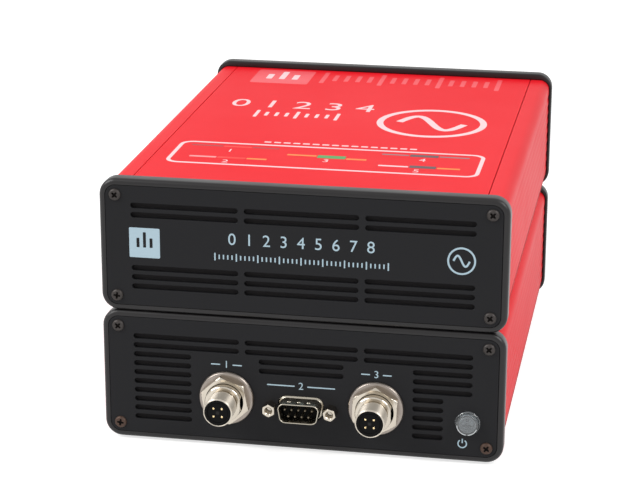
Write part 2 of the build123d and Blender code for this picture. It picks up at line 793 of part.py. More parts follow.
def ribbon():
    """Flat cable from the lower board's header, over and down to the upper board's."""
    start = LOWER_Z + BOARD_TOP + HEADER_H
    end = UPPER_Z + BOARD_TOP + HEADER_H
    crown = end + RIBBON_RISE - HEADER_H / 2
    path = FilletPolyline(
        (GROMMET_Y, start), (GROMMET_Y, crown), (GROMMET_Y + RIBBON_REACH, crown),
        (GROMMET_Y + RIBBON_REACH, end), radius=RIBBON_BEND,
    )
    left = GROMMET_X - RIBBON_W / 2
    return extrude(Plane.YZ.offset(left) * trace(path, RIBBON_T), RIBBON_W)


def header(y, base):
    """Ribbon header that stands on a board."""
    half_l, half_w = HEADER_L / 2, HEADER_W / 2
    return block(
        (GROMMET_X - half_l, GROMMET_X + half_l), (y - half_w, y + half_w), (base, base + HEADER_H)
    )


def feet():
    """Round feet under the lower housing's floor."""
    top = LOWER_Z - HOUSING_TOP
    places = [
        (side * FOOT_X, y)
        for side in (-1, 1)
        for y in (HOUSING_FRONT + FOOT_INSET, HOUSING_BACK - FOOT_INSET)
    ]
    return [post(FOOT_R, 0, top, x, y) for x, y in places]


# Supply inlet and fan, at the upper deck's rear
def inlet():
    """Moulded appliance inlet: flange outside, body through the panel, open cavity."""
    flange = RectangleRounded(INLET_FLANGE_W, INLET_FLANGE_H, INLET_R)
    body = run(flange, CASE_DEPTH, CASE_DEPTH + INLET_FLANGE_T)
    for side in (-1, 1):
        body -= Pos(side * INLET_SCREW_X, 0, 0) * inlet_screw(THREAD_PLAY)
    body_front = CASE_DEPTH - INLET_BODY_D
    body += run(Rectangle(INLET_BODY_W, INLET_BODY_H), body_front, CASE_DEPTH)
    cavity = Rectangle(INLET_CAVITY_W, INLET_CAVITY_H)
    cavity = chamfer(cavity.vertices().group_by(Axis.Y)[-1], INLET_CAVITY_BEVEL)
    mouth = CASE_DEPTH + INLET_FLANGE_T
    body -= run(cavity, mouth - INLET_CAVITY_D, mouth)
    for pin in inlet_blades():
        body -= pin
    return body


def inlet_blades():
    """The straight part of the inlet's three blades."""
    floor = CASE_DEPTH + INLET_FLANGE_T - INLET_CAVITY_D
    back = CASE_DEPTH - INLET_BODY_D
    blades = []
    for x, z in ((-INLET_PIN_X, -INLET_PIN_DROP), (0, INLET_PIN_DROP), (INLET_PIN_X, -INLET_PIN_DROP)):
        half_w, half_h = INLET_PIN_W / 2, INLET_PIN_H / 2
        span = (back, floor + INLET_PIN_L)
        blades.append(block((x - half_w, x + half_w), span, (z - half_h, z + half_h)))
    return blades


def inlet_pins():
    """Blades with tails bent down to the board behind the inlet."""
    back = CASE_DEPTH - INLET_BODY_D
    foot = BOARD_TOP - INLET_Z
    pins = []
    for blade in inlet_blades():
        box = blade.bounding_box()
        x = (box.min.X, box.max.X)
        pins.append(blade + block(x, (back - INLET_TAIL, back), (foot, box.max.Z)))
    return pins


def inlet_screw(play=0.0):
    """Countersunk screw in the inlet's flange, or with play the room that it takes."""
    face = CASE_DEPTH + INLET_FLANGE_T
    radius = INLET_SCREW_R + play
    return turned(
        (0, face), (INLET_SCREW_HEAD_R + play, face), (radius, face - INLET_SCREW_HEAD_T),
        (radius, face - INLET_SCREW_L), (0, face - INLET_SCREW_L),
    )


def inlet_screws():
    """The two screws through the inlet's flange and the panel."""
    return [Pos(side * INLET_SCREW_X, 0, 0) * inlet_screw() for side in (-1, 1)]


def fan_frame():
    """Square fan frame with its hub plate, struts and bearing tube."""
    face = RectangleRounded(FAN_SIZE, FAN_SIZE, FAN_R) - Circle(FAN_BORE_R)
    for x, z in corners(FAN_HOLE_X, FAN_HOLE_X):
        face -= Pos(x, z) * Circle(FAN_HOLE_R)
    front = FAN_BACK - FAN_D
    frame = run(face, front, FAN_BACK)
    plate = Circle(FAN_HUB_R)
    for angle in (45, 135):
        plate += Rot(0, 0, angle) * Rectangle(2 * FAN_BORE_R + FAN_WALL, FAN_STRUT_W)
    frame += run(plate, FAN_BACK - FAN_HUB_PLATE, FAN_BACK)
    frame += rod(FAN_BEARING_R, FAN_BACK - FAN_HUB_PLATE - FAN_BEARING_L, FAN_BACK - FAN_HUB_PLATE)
    bore = rod(FAN_SHAFT_R + FAN_SHAFT_PLAY, front, FAN_BACK)
    return frame - bore


def fan_rotor():
    """Rotor: hub, shaft in the bearing tube, and tilted blades."""
    hub_back = FAN_BACK - FAN_HUB_PLATE - FAN_BEARING_L - FAN_GAP / 2
    hub_front = FAN_BACK - FAN_D + FAN_GAP
    rotor = rod(FAN_HUB_R, hub_front, hub_back)
    rotor += rod(FAN_SHAFT_R, hub_back, FAN_BACK - FAN_HUB_PLATE / 2)
    middle = (hub_front + hub_back) / 2
    inner = FAN_HUB_R * 0.9
    blade = Pos(0, 0, (inner + FAN_BLADE_TIP_R) / 2) * Box(
        FAN_BLADE_CHORD, FAN_BLADE_T, FAN_BLADE_TIP_R - inner
    )
    blade = Pos(0, middle, 0) * Rot(0, 0, FAN_BLADE_TILT) * blade
    blade &= rod(FAN_BLADE_TIP_R, FAN_BACK - FAN_D, FAN_BACK)
    for i in range(FAN_BLADE_COUNT):
        rotor += Rot(0, 360 / FAN_BLADE_COUNT * i, 0) * blade
    return rotor


def fan_screws():
    """Screws from outside the panel into the fan's corner holes."""
    one = at_rear(screw(FAN_SCREW_HEAD_R, FAN_SCREW_HEAD_T, FAN_HOLE_R - THREAD_PLAY, FAN_D))
    return [Pos(FAN_X + x, 0, z) * one for x, z in corners(FAN_HOLE_X, FAN_HOLE_X)]


# Data and earth sockets, at the lower deck's rear
def usb_shell():
    """Folded shell of the data socket, open to the rear."""
    face = CASE_DEPTH + USB_OUT
    shell = run(Rectangle(USB_W, USB_H), face - USB_D, face)
    cavity = Rectangle(USB_CAVITY_W, USB_CAVITY_H)
    cavity = chamfer(cavity.vertices().group_by(Axis.Y)[-1], USB_BEVEL)
    return shell - run(cavity, face - USB_CAVITY_D, face)


def usb_tongue():
    """Contact block that stands in the data socket's cavity."""
    face = CASE_DEPTH + USB_OUT
    return run(Rectangle(USB_TONGUE_W, USB_TONGUE_H), face - USB_CAVITY_D, face - USB_TONGUE_INSET)


def earth_socket():
    """Plated tube for a 4 mm plug, closed at its inner end."""
    face = CASE_DEPTH + EARTH_COLLAR_T
    tube = rod(EARTH_TUBE_R, face - EARTH_BORE_D - EARTH_END_T, face)
    return tube - rod(EARTH_BORE_R, face - EARTH_BORE_D, face)


def earth_collar():
    """Moulded collar round the socket, on the panel."""
    ring = Circle(EARTH_COLLAR_R) - Circle(EARTH_TUBE_R)
    return run(ring, CASE_DEPTH, CASE_DEPTH + EARTH_COLLAR_T)


def earth_nut():
    """Nut behind the panel."""
    hexagon = RegularPolygon(EARTH_NUT_AF / 2, 6, major_radius=False) - Circle(EARTH_TUBE_R)
    back = CASE_DEPTH - PANEL_T
    return run(hexagon, back - EARTH_NUT_T, back)


def earth_tag():
    """Bent tag from the socket's inner end down to the board."""
    tip = CASE_DEPTH + EARTH_COLLAR_T - EARTH_BORE_D - EARTH_END_T
    half = EARTH_TAG_W / 2
    foot = BOARD_TOP - EARTH_Z
    return block((-half, half), (tip - EARTH_TAG_T, tip), (foot, half))


# Boards
def main_board():
    """Lower board in its guides, with connectors at both ends."""
    half = BOARD_W / 2
    return block((-half, half), (BOARD_FRONT, BOARD_BACK), (BOARD_Z, BOARD_TOP))


def power_board():
    """Upper board: cut away for the fan, and slotted for the ribbon."""
    half = FAN_SIZE / 2 + BOARD_INSET
    notch = block(
        (FAN_X - half, FAN_X + half), (FAN_BACK - FAN_D - BOARD_INSET, CASE_DEPTH), (BOARD_Z, BOARD_TOP)
    )
    slot = Pos(GROMMET_X, GROMMET_Y) * Rectangle(RIBBON_SLOT_L, RIBBON_SLOT_W)
    notch += extrude(Plane.XY.offset(BOARD_Z) * slot, BOARD_T)
    return main_board() - notch


def shield():
    """Folded cover over the measuring circuit."""
    low = BOARD_TOP
    outer = block((-SHIELD_W / 2, SHIELD_W / 2), (SHIELD_Y, SHIELD_Y + SHIELD_L), (low, low + SHIELD_H))
    half_w = SHIELD_W / 2 - SHIELD_T
    span = (SHIELD_Y + SHIELD_T, SHIELD_Y + SHIELD_L - SHIELD_T)
    return outer - block((-half_w, half_w), span, (low, low + SHIELD_H - SHIELD_T))


def relays():
    """Range relays in a row beside the shield."""
    x = SHIELD_W / 2 + RELAY_PITCH
    row = []
    for i in range(RELAY_COUNT):
        y = RELAY_Y + i * RELAY_PITCH
        row.append(block((x, x + RELAY_L), (y, y + RELAY_W), (BOARD_TOP, BOARD_TOP + RELAY_H)))
    return row


def chips():
    """Logic chips behind the shield."""
    row = []
    for i, (width, length, height) in enumerate(zip(CHIP_WIDTHS, CHIP_LENGTHS, CHIP_HEIGHTS)):
        x = CHIP_X + (i - 1) * CHIP_PITCH
        span = (CHIP_Y, CHIP_Y + length)
        row.append(block((x - width / 2, x + width / 2), span, (BOARD_TOP, BOARD_TOP + height)))
    return row


def heat_sink():
    """Finned extrusion on two side walls over the board, fins up."""
    base = BOARD_TOP + SINK_LIFT
    left, right = FAN_X - SINK_W / 2, FAN_X + SINK_W / 2
    section = rect(left, right, base, base + SINK_BASE)
    step = (SINK_W - SINK_FIN_T) / (SINK_FIN_COUNT - 1)
    for i in range(SINK_FIN_COUNT):
        x = left + i * step
        section += rect(x, x + SINK_FIN_T, base, SINK_TOP)
    for x in (left, right - SINK_FIN_T):
        section += rect(x, x + SINK_FIN_T, BOARD_TOP, base)
    return run(section, SINK_Y, SINK_Y + SINK_L)


def power_devices():
    """Power transistors under the heat sink's base, with a leg block each."""
    base = BOARD_TOP + SINK_LIFT
    span = (FAN_X - DEVICE_W / 2, FAN_X + DEVICE_W / 2)
    row = []
    for i in range(DEVICE_COUNT):
        y = SINK_Y + DEVICE_INSET + i * DEVICE_PITCH
        body = block(span, (y, y + DEVICE_L), (base - DEVICE_T, base))
        row.append(body + block(span, (y - DEVICE_LEG, y), (BOARD_TOP, base - DEVICE_T / 2)))
    return row


def transformer_core():
    """Ferrite core with two windows."""
    outer = rect(CORE_X - CORE_W / 2, CORE_X + CORE_W / 2, BOARD_TOP, BOARD_TOP + CORE_H)
    low = BOARD_TOP + (CORE_H - CORE_WINDOW_H) / 2
    for side in (-1, 1):
        inner = CORE_X + side * CORE_LIMB / 2
        outer_x = CORE_X + side * (CORE_W / 2 - CORE_LIMB / 2)
        outer -= rect(min(inner, outer_x), max(inner, outer_x), low, low + CORE_WINDOW_H)
    return run(outer, CORE_Y, CORE_Y + CORE_L)


def transformer_coil():
    """Winding round the core's middle limb, through both windows."""
    low = BOARD_TOP + (CORE_H - CORE_WINDOW_H) / 2
    half = CORE_W / 2 - CORE_LIMB / 2 - COIL_PLAY
    span = (CORE_Y - COIL_OVERHANG, CORE_Y + CORE_L + COIL_OVERHANG)
    outer = block((CORE_X - half, CORE_X + half), span, (low, low + CORE_WINDOW_H))
    half_limb = CORE_LIMB / 2
    limb = rect(CORE_X - half_limb, CORE_X + half_limb, low, low + CORE_WINDOW_H)
    return outer - run(limb, CORE_Y, CORE_Y + CORE_L)


def capacitors():
    """Reservoir capacitors that stand on the power board."""
    return [post(CAPACITOR_R, BOARD_TOP, BOARD_TOP + CAPACITOR_H, x, CAPACITOR_Y) for x in CAPACITOR_X]


# All nodes, placed in the frame of the whole case
LOWER = Pos(0, 0, LOWER_Z)
UPPER = Pos(0, 0, UPPER_Z)
CELLS = {"working": Pos(-CELL_X, 0, LOWER_Z + CELL_Z), "counter": Pos(CELL_X, 0, LOWER_Z + CELL_Z)}
SENSE = Pos(0, 0, LOWER_Z + SENSE_Z)
POWER = Pos(POWER_X, 0, LOWER_Z + POWER_Z)
INLET = Pos(INLET_X, 0, UPPER_Z + INLET_Z)
FAN = Pos(FAN_X, 0, UPPER_Z)
USB = Pos(USB_X, 0, LOWER_Z + USB_Z)
EARTH = Pos(EARTH_X, 0, LOWER_Z + EARTH_Z)
REAR_SPAN = (CASE_DEPTH - PANEL_T, CASE_DEPTH)

nodes = {
    "lower_housing": LOWER * housing(),
    "lower_cover": drill_deck(LOWER * cover(), deck_floor() - DECK_GAP - COVER_T, deck_floor() - DECK_GAP),
    "lower_front_bezel": LOWER * bezel(),
    "lower_rear_bezel": LOWER * at_rear(bezel()),
    "lower_front_panel": LOWER * run(lower_front_section(), 0, PANEL_T),
    "lower_rear_panel": LOWER * run(lower_rear_section(), *REAR_SPAN),
    "lower_panel_screws": LOWER * panel_screws(),
    "upper_housing": drill_deck(UPPER * housing(), deck_floor(), deck_floor() + WALL),
    "upper_cover": UPPER * cover(),
    "upper_front_bezel": UPPER * bezel(),
    "upper_rear_bezel": UPPER * at_rear(bezel()),
    "upper_front_panel": UPPER * run(upper_front_section(), 0, PANEL_T),
    "upper_rear_panel": UPPER * run(upper_rear_section(), *REAR_SPAN),
    "upper_panel_screws": UPPER * panel_screws(),
    "deck_spacers": group(spacers()),
    "deck_screws": group(deck_screws()),
    "deck_grommet": grommet(),
    "deck_ribbon": ribbon(),
    "ribbon_headers": group(
        [header(GROMMET_Y, LOWER_Z + BOARD_TOP), header(GROMMET_Y + RIBBON_REACH, UPPER_Z + BOARD_TOP)]
    ),
    "rubber_feet": group(feet()),
    "cell_washers": group([place * cell_washer() for place in CELLS.values()]),
    "cell_nuts": group([place * cell_nut(NUT_TURN[name]) for name, place in CELLS.items()]),
    "cell_contacts": group([place * c for place in CELLS.values() for c in cell_contacts()]),
    "cell_leads": group([place * cell_lead() for place in CELLS.values()]),
    "sense_shell": SENSE * sense_shell(),
    "sense_block": SENSE * sense_block(),
    "sense_pins": group([SENSE * pin for pin in sense_pins()]),
    "sense_jackscrews": group([SENSE * Pos(s * JACK_SPACING / 2, 0, 0) * jackscrew() for s in (-1, 1)]),
    "power_button": POWER * power_cap(),
    "power_ring": POWER * power_ring(),
    "power_switch": POWER * power_switch(),
    "main_board": LOWER * main_board(),
    "shield_cover": LOWER * shield(),
    "range_relays": group([LOWER * r for r in relays()]),
    "logic_chips": group([LOWER * c for c in chips()]),
    "usb_shell": USB * usb_shell(),
    "usb_tongue": USB * usb_tongue(),
    "earth_socket": EARTH * earth_socket(),
    "earth_collar": EARTH * earth_collar(),
    "earth_nut": EARTH * earth_nut(),
    "earth_tag": EARTH * earth_tag(),
    "power_board": UPPER * power_board(),
    "supply_inlet": INLET * inlet(),
    "inlet_pins": group([INLET * pin for pin in inlet_pins()]),
    "inlet_screws": group([INLET * s for s in inlet_screws()]),
    "fan_frame": FAN * fan_frame(),
    "fan_rotor": FAN * fan_rotor(),
    "fan_screws": group([UPPER * s for s in fan_screws()]),
    "heat_sink": UPPER * heat_sink(),
    "power_devices": group([UPPER * d for d in power_devices()]),
    "transformer_core": UPPER * transformer_core(),
    "transformer_coil": UPPER * transformer_coil(),
    "capacitors": group([UPPER * c for c in capacitors()]),
}
for name, place in CELLS.items():
    nodes[f"{name}_shell"] = place * cell_shell()
    nodes[f"{name}_insert"] = place * cell_insert()

os.makedirs("parts", exist_ok=True)
for name, shape in nodes.items():
    export_step(Pos(0, FRONT_Y, 0) * shape, f"parts/{name}.step")
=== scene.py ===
"""Bench potentiostat: the visual model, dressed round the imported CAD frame.

Sizes are in millimetres in the part's own frame: X to the right, Y from the front
panel to the rear and Z up from the bench. They become metres where a mesh is made.
"""

import json
import logging
import math
from collections.abc import Iterable, Sequence
from dataclasses import dataclass, field
from enum import Enum

import bmesh
import bpy
from mathutils import Matrix, Vector
from mathutils.geometry import tessellate_polygon


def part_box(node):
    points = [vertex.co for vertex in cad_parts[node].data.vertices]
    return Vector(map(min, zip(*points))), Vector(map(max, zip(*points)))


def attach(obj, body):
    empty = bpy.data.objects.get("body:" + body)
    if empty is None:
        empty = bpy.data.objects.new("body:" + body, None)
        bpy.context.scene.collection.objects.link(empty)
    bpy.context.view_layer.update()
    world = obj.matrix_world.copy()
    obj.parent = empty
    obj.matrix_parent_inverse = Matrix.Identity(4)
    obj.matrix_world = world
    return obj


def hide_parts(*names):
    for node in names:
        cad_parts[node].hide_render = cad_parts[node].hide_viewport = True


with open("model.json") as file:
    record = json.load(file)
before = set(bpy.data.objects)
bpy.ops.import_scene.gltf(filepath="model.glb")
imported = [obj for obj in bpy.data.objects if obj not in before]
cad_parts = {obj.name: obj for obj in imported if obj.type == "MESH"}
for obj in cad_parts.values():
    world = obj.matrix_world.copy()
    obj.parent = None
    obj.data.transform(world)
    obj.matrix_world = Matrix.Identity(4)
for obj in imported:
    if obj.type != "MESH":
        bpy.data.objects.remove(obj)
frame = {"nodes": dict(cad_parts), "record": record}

LOG = logging.getLogger("potentiostat")
MM = 0.001
CASE_BODY = "case"
BUTTON_BODY = "power_button"
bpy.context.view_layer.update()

Point = tuple[float, float]
BMesh = bmesh.types.BMesh
Loop = list[bmesh.types.BMVert]
Tree = bpy.types.NodeTree
Socket = bpy.types.NodeSocket
Value = Socket | float | tuple | str

# Signs of the sides and corners, and the corners in the order that screws are driven
SIDES = (-1, 1)
CORNERS = ((-1, -1), (-1, 1), (1, -1), (1, 1))
SCREW_CORNERS = ((-1, 1), (1, 1), (1, -1), (-1, -1))

# Places on the end panels, from a panel's centre
SCREW_X, SCREW_Z = 75.75, 21.2
CELL_X, CELL_Z = 30.8, -7.15
SENSE_Z, JACK_X = -9.6, 12.495
POWER_X, POWER_Z = 68.0, -10.9
# Distances of the fan's and the supply inlet's screws from their middles
FAN_SCREW, INLET_SCREW = 16.0, 20.0
# How far the pins and screws of the D-shaped connector reach behind the panel's face
SENSE_BACK = 11.8


class Deck(Enum):
    """The two stacked decks of the case."""

    LOWER = "lower"
    UPPER = "upper"


class End(Enum):
    """The two ends of a deck, with the way that each one faces along Y."""

    FRONT = -1
    REAR = 1


class Relief(Enum):
    """How a surface's fine relief runs, as its scale along each axis."""

    GRAIN = (1.0, 1.0, 1.0)
    DRAWN = (1.0, 0.02, 1.0)
    TURNED = (0.05, 1.0, 0.05)


# Finishes


def linear(colour: str) -> tuple[float, float, float, float]:
    """Turns an sRGB hex colour to linear.

    Args:
        colour: Six hex digits after a hash.

    Returns:
        Linear red, green, blue and an alpha of one.
    """
    channels = [int(colour[i : i + 2], 16) / 255 for i in (1, 3, 5)]
    return (*[c / 12.92 if c <= 0.04045 else ((c + 0.055) / 1.055) ** 2.4 for c in channels], 1.0)


def add_node(
    tree: Tree, kind: str, inputs: dict[str | int, Value] | None = None, **settings: object
) -> bpy.types.Node:
    """Adds a node, sets it and links it.

    Args:
        tree: Node tree that takes the node.
        kind: Node type name.
        inputs: Value or source socket for each input, by name or place.
        settings: The node's own settings.

    Returns:
        The new node.
    """
    node = tree.nodes.new(kind)
    for name, value in settings.items():
        setattr(node, name, value)
    for name, value in (inputs or {}).items():
        if isinstance(value, bpy.types.NodeSocket):
            tree.links.new(value, node.inputs[name])
        else:
            node.inputs[name].default_value = value
    return node


@dataclass(frozen=True)
class Finish:
    """A real material and how its surface was made.

    Attributes:
        name: Material name.
        slot: The record's material slot that it dresses.
        colour: Main sRGB colour.
        shade: sRGB colour that the main one drifts towards in patches.
        roughness: Middle roughness of the surface.
        metallic: One for bare metal.
        relief: How the fine relief runs.
        grain_mm: Size of the fine relief.
        depth_mm: Height of the fine relief.
        patch_mm: Size of the patches of colour and gloss.
        spread: How far roughness drifts each way in the patches.
        coat: Weight of a clear top coat.
        transmission: Share of light that goes through.
        ior: Index of refraction of a material that is no metal.
        specular: Level of the mirror-like part, where half is plain and less is matt.
        streak: How far turning marks round Y draw the reflections out along Y.
    """

    name: str
    slot: str
    colour: str
    shade: str
    roughness: float
    metallic: float = 0.0
    relief: Relief = Relief.GRAIN
    grain_mm: float = 0.4
    depth_mm: float = 0.01
    patch_mm: float = 25.0
    spread: float = 0.05
    coat: float = 0.0
    transmission: float = 0.0
    ior: float = 1.5
    specular: float = 0.5
    streak: float = 0.0

    def material(self) -> bpy.types.Material:
        """Builds the material once and returns it after that.

        Returns:
            The Blender material.
        """
        made = bpy.data.materials.get(self.name)
        if made:
            return made
        made = bpy.data.materials.new(self.name)
        made.use_nodes = True
        tree = made.node_tree
        tree.nodes.clear()
        place = add_node(tree, "ShaderNodeTexCoord").outputs["Object"]
        lumps = {"Vector": place, "Scale": 1 / (self.patch_mm * MM), "Detail": 4.0}
        patches = add_node(tree, "ShaderNodeTexNoise", lumps).outputs["Fac"]
        tones = {0: patches, 6: linear(self.colour), 7: linear(self.shade)}
        colour = add_node(tree, "ShaderNodeMix", tones, data_type="RGBA").outputs[2]
        drift = {
            "Value": patches,
            "From Min": 0.3,
            "From Max": 0.7,
            "To Min": max(self.roughness - self.spread, 0.02),
            "To Max": self.roughness + self.spread,
        }
        stretch = {"Vector": place, "Scale": self.relief.value}
        stretched = add_node(tree, "ShaderNodeMapping", stretch).outputs[0]
        grain = {"Vector": stretched, "Scale": 1 / (self.grain_mm * MM), "Detail": 3.0}
        height = add_node(tree, "ShaderNodeTexNoise", grain).outputs["Fac"]
        bump = {"Height": height, "Distance": self.depth_mm * MM, "Strength": 1.0}
        surface = {
            "Base Color": colour,
            "Roughness": add_node(tree, "ShaderNodeMapRange", drift).outputs[0],
            "Metallic": self.metallic,
            "Normal": add_node(tree, "ShaderNodeBump", bump).outputs[0],
            "IOR": self.ior,
            "Specular IOR Level": self.specular,
            "Coat Weight": self.coat,
            "Coat Roughness": 0.08,
            "Transmission Weight": self.transmission,
        }
        if self.streak:
            # A quarter turn from the rings, the reflections run along the axis
            rings = add_node(tree, "ShaderNodeTangent", direction_type="RADIAL", axis="Y").outputs[0]
            surface |= {"Tangent": rings, "Anisotropic": self.streak, "Anisotropic Rotation": 0.25}
        shader = add_node(tree, "ShaderNodeBsdfPrincipled", surface)
        add_node(tree, "ShaderNodeOutputMaterial", {"Surface": shader.outputs[0]})
        return made


def ink(name: str, colour: str, shade: str, slot: str = "red_anodised", roughness: float = 0.5) -> Finish:
    """Returns a screen-printed ink: thin, even and half matt."""
    return Finish(name, slot, colour, shade, roughness, grain_mm=0.2, depth_mm=0.004)


# Red powder coat on extruded aluminium: a soft even gloss over faint lines from the die
RED_CASE = Finish(
    "powder_coated_extrusion", "red_anodised", "#EB1A27", "#E31824", 0.5, relief=Relief.DRAWN,
    grain_mm=0.9, patch_mm=60.0, spread=0.03, specular=0.12,
)
# The same coat on the tray's fluted sides: a little glossier, so the flutes show as fine lines
RED_TRAY = Finish(
    "powder_coated_tray", "red_anodised", "#EA1A27", "#E21824", 0.46, relief=Relief.DRAWN,
    grain_mm=0.9, depth_mm=0.012, patch_mm=60.0, spread=0.03, specular=0.12,
)
# Injection-moulded ABS with a fine spark grain: dark, with a broad soft glint on its edges
BLACK_ABS = Finish(
    "moulded_abs", "black_moulding", "#141213", "#191718", 0.36,
    grain_mm=0.5, depth_mm=0.006, patch_mm=30.0, specular=0.38,
)
# Black anodised sheet, bead blasted: flat and even, with hardly any glint
BLACK_SHEET = Finish(
    "anodised_sheet", "black_panel", "#1C1C1E", "#212123", 0.55,
    grain_mm=0.35, depth_mm=0.008, patch_mm=40.0, specular=0.15,
)
# Painted shade: a dark, dull sheet behind the slots that stands in for the shade inside the case, with a
# relief 0.6 mm across
PAINTED_SLOT_SHADE = Finish(
    "painted_slot_shade_sheet", "black_insulator", "#2E2C2D", "#363435", 0.9,
    grain_mm=0.6, depth_mm=0.05, patch_mm=12.0, specular=0.1,
)
# Black oxide on steel screws: dark grey-brown with a thin oily sheen
BLACK_OXIDE = Finish(
    "black_oxide_steel", "black_steel", "#312D2B", "#3D3836", 0.45, 0.5, grain_mm=0.3, patch_mm=2.0
)
# Black oxide that has started to brown
BROWNED_OXIDE = Finish(
    "browned_oxide_steel", "black_steel", "#3E2D25", "#523C30", 0.48, 0.4, grain_mm=0.3, patch_mm=1.5
)
# Painted shade in a screw's recess: nearly black, without any glint
RECESS_SHADE = Finish(
    "painted_recess_shade", "black_steel", "#171413", "#1F1A18", 0.8, grain_mm=0.2, patch_mm=1.0, specular=0.15
)
# Nickel over a finely turned tip: the tool's rings draw each reflection out into bands along the tip
TURNED_NICKEL = Finish(
    "finely_turned_nickel", "nickel_plate", "#DDD5C8", "#CEC5B7", 0.46, 1.0, Relief.TURNED,
    grain_mm=0.3, depth_mm=0.004, patch_mm=6.0, spread=0.04, streak=0.9,
)
# Bright nickel over turned brass: mirror-like, with faint rings from the tool
NICKEL = Finish(
    "turned_nickel_plate", "nickel_plate", "#CBC3B6", "#BAB1A3", 0.13, 1.0, Relief.TURNED,
    grain_mm=0.15, depth_mm=0.002, patch_mm=6.0, spread=0.02,
)
# Nickel over a stamped washer: brushed, greyer and half dull
SATIN_NICKEL = Finish(
    "satin_nickel_plate", "nickel_plate", "#9C938B", "#8A817A", 0.3, 1.0, depth_mm=0.004, patch_mm=5.0
)
# Tin over pressed steel: softer and greyer than nickel
TIN_STEEL = Finish(
    "tin_plated_steel", "nickel_plate", "#B9B3A5", "#A69F92", 0.26, 1.0,
    grain_mm=0.5, depth_mm=0.003, patch_mm=4.0,
)
# Worn thin gold over nickel, as on signal pins: pale and half dull
PALE_PIN = Finish(
    "flash_gold_pin", "gold_plate", "#7A7264", "#6B6355", 0.45, 1.0,
    grain_mm=0.3, depth_mm=0.003, patch_mm=2.0,
)
# Zinc on small hardware: pale and slightly blue
ZINC = Finish(
    "zinc_plated_steel", "zinc_steel", "#BFC3C8", "#A9AEB5", 0.34, 1.0, depth_mm=0.008, patch_mm=3.0
)
# Thin gold over contact pins: warm and bright
GOLD = Finish(
    "gold_plated_brass", "gold_plate", "#F2DDB4", "#E4C68C", 0.22, 1.0,
    grain_mm=0.3, depth_mm=0.003, patch_mm=2.0,
)
# Glass-filled nylon of the inserts: near black, slightly dull
BLACK_NYLON = Finish(
    "glass_filled_nylon", "black_insulator", "#0A0A0A", "#101010", 0.5,
    grain_mm=0.25, depth_mm=0.004, patch_mm=5.0, specular=0.08,
)
# The same nylon where the mould was polished: a shade paler
GREY_NYLON = Finish(
    "polished_nylon", "black_insulator", "#1A1816", "#22201D", 0.45,
    grain_mm=0.3, depth_mm=0.004, patch_mm=4.0, specular=0.2,
)
# White nylon of the relays and the data socket's tongue: milky and half matt
WHITE_NYLON = Finish(
    "white_nylon", "white_insulator", "#E4E3DD", "#D8D6CE", 0.45, grain_mm=0.3, depth_mm=0.006, patch_mm=8.0
)
# Moulded clear polycarbonate, with a faint smoky cast
CLEAR_LENS = Finish(
    "clear_polycarbonate", "clear_moulding", "#C9CED1", "#BFC5C8", 0.08,
    grain_mm=0.6, depth_mm=0.003, patch_mm=6.0, transmission=0.85, ior=1.58,
)
# Painted highlight on the lens's moulded rim: opaque and pale, so that it shows as a fine bright line
RIM_GLINT = Finish(
    "rim_painted_glint", "clear_moulding", "#E6EAEC", "#DDE2E4", 0.12,
    grain_mm=0.6, depth_mm=0.003, patch_mm=6.0, ior=1.58,
)
# Milky diffuser behind the lens: grey, as its lamp is off
DIFFUSER = Finish(
    "milky_diffuser", "white_insulator", "#7F8386", "#94989B", 0.5, depth_mm=0.004, patch_mm=3.0
)
# Moulded rubber: dull and even
RUBBER = Finish("moulded_rubber", "black_rubber", "#18181A", "#202022", 0.75, depth_mm=0.02, patch_mm=8.0)
# Grey PVC of flat cable and leads: half matt, with the ribs of its wires
CABLE = Finish(
    "grey_pvc_cable", "grey_cable", "#8D9197", "#7F838A", 0.5, relief=Relief.DRAWN,
    grain_mm=1.27, depth_mm=0.1, patch_mm=10.0,
)
# Green solder mask over woven glass and copper: mottled under a thin gloss
SOLDER_MASK = Finish(
    "green_solder_mask", "green_board", "#0F5A30", "#17703D", 0.4,
    grain_mm=0.8, depth_mm=0.02, patch_mm=5.0, coat=0.3,
)
# Bare extruded aluminium: pale, with lines along the extrusion
BARE_ALUMINIUM = Finish(
    "bare_extruded_aluminium", "plain_aluminium", "#C3C6C9", "#B2B6BA", 0.4, 1.0, Relief.DRAWN,
    grain_mm=0.5, patch_mm=12.0,
)
# Sintered ferrite: dark and dull
FERRITE = Finish(
    "sintered_ferrite", "ferrite", "#2D2D30", "#37373A", 0.7, grain_mm=0.3, depth_mm=0.02, patch_mm=6.0
)
# Polyester tape over the transformer's winding: amber, with soft wraps
WINDING_TAPE = Finish(
    "amber_winding_tape", "winding", "#C4942A", "#B48422", 0.35, grain_mm=1.0, depth_mm=0.03, patch_mm=6.0
)
# Shrink sleeve on the capacitors: smooth and dark blue
BLUE_SLEEVE = Finish("shrink_sleeve", "blue_sleeve", "#1C2F66", "#233A78", 0.3, grain_mm=0.6, patch_mm=8.0)

PALE_INK = ink("pale_blue_ink", "#B8D0DC", "#AFC8D5", "black_panel")
WHITE_INK = ink("white_ink", "#F4D3D6", "#EFC8CC")
ROSE_INK = ink("rose_ink", "#F79A9C", "#F28E92")
FADED_INK = ink("faded_red_ink", "#EE4F58", "#EA4750", roughness=0.45)
ORANGE_INK = ink("orange_ink", "#F28A3C", "#EC7F30")
SCARLET_INK = ink("scarlet_ink", "#F02A22", "#E8221C")
BROWN_INK = ink("brown_ink", "#A8262A", "#9C2226")
GREEN_INK = ink("green_ink", "#4FA05A", "#479652")
GREY_INK = ink("grey_ink", "#8C7478", "#846C70")
DARK_INK = ink("dark_grey_ink", "#54474B", "#4C4044")

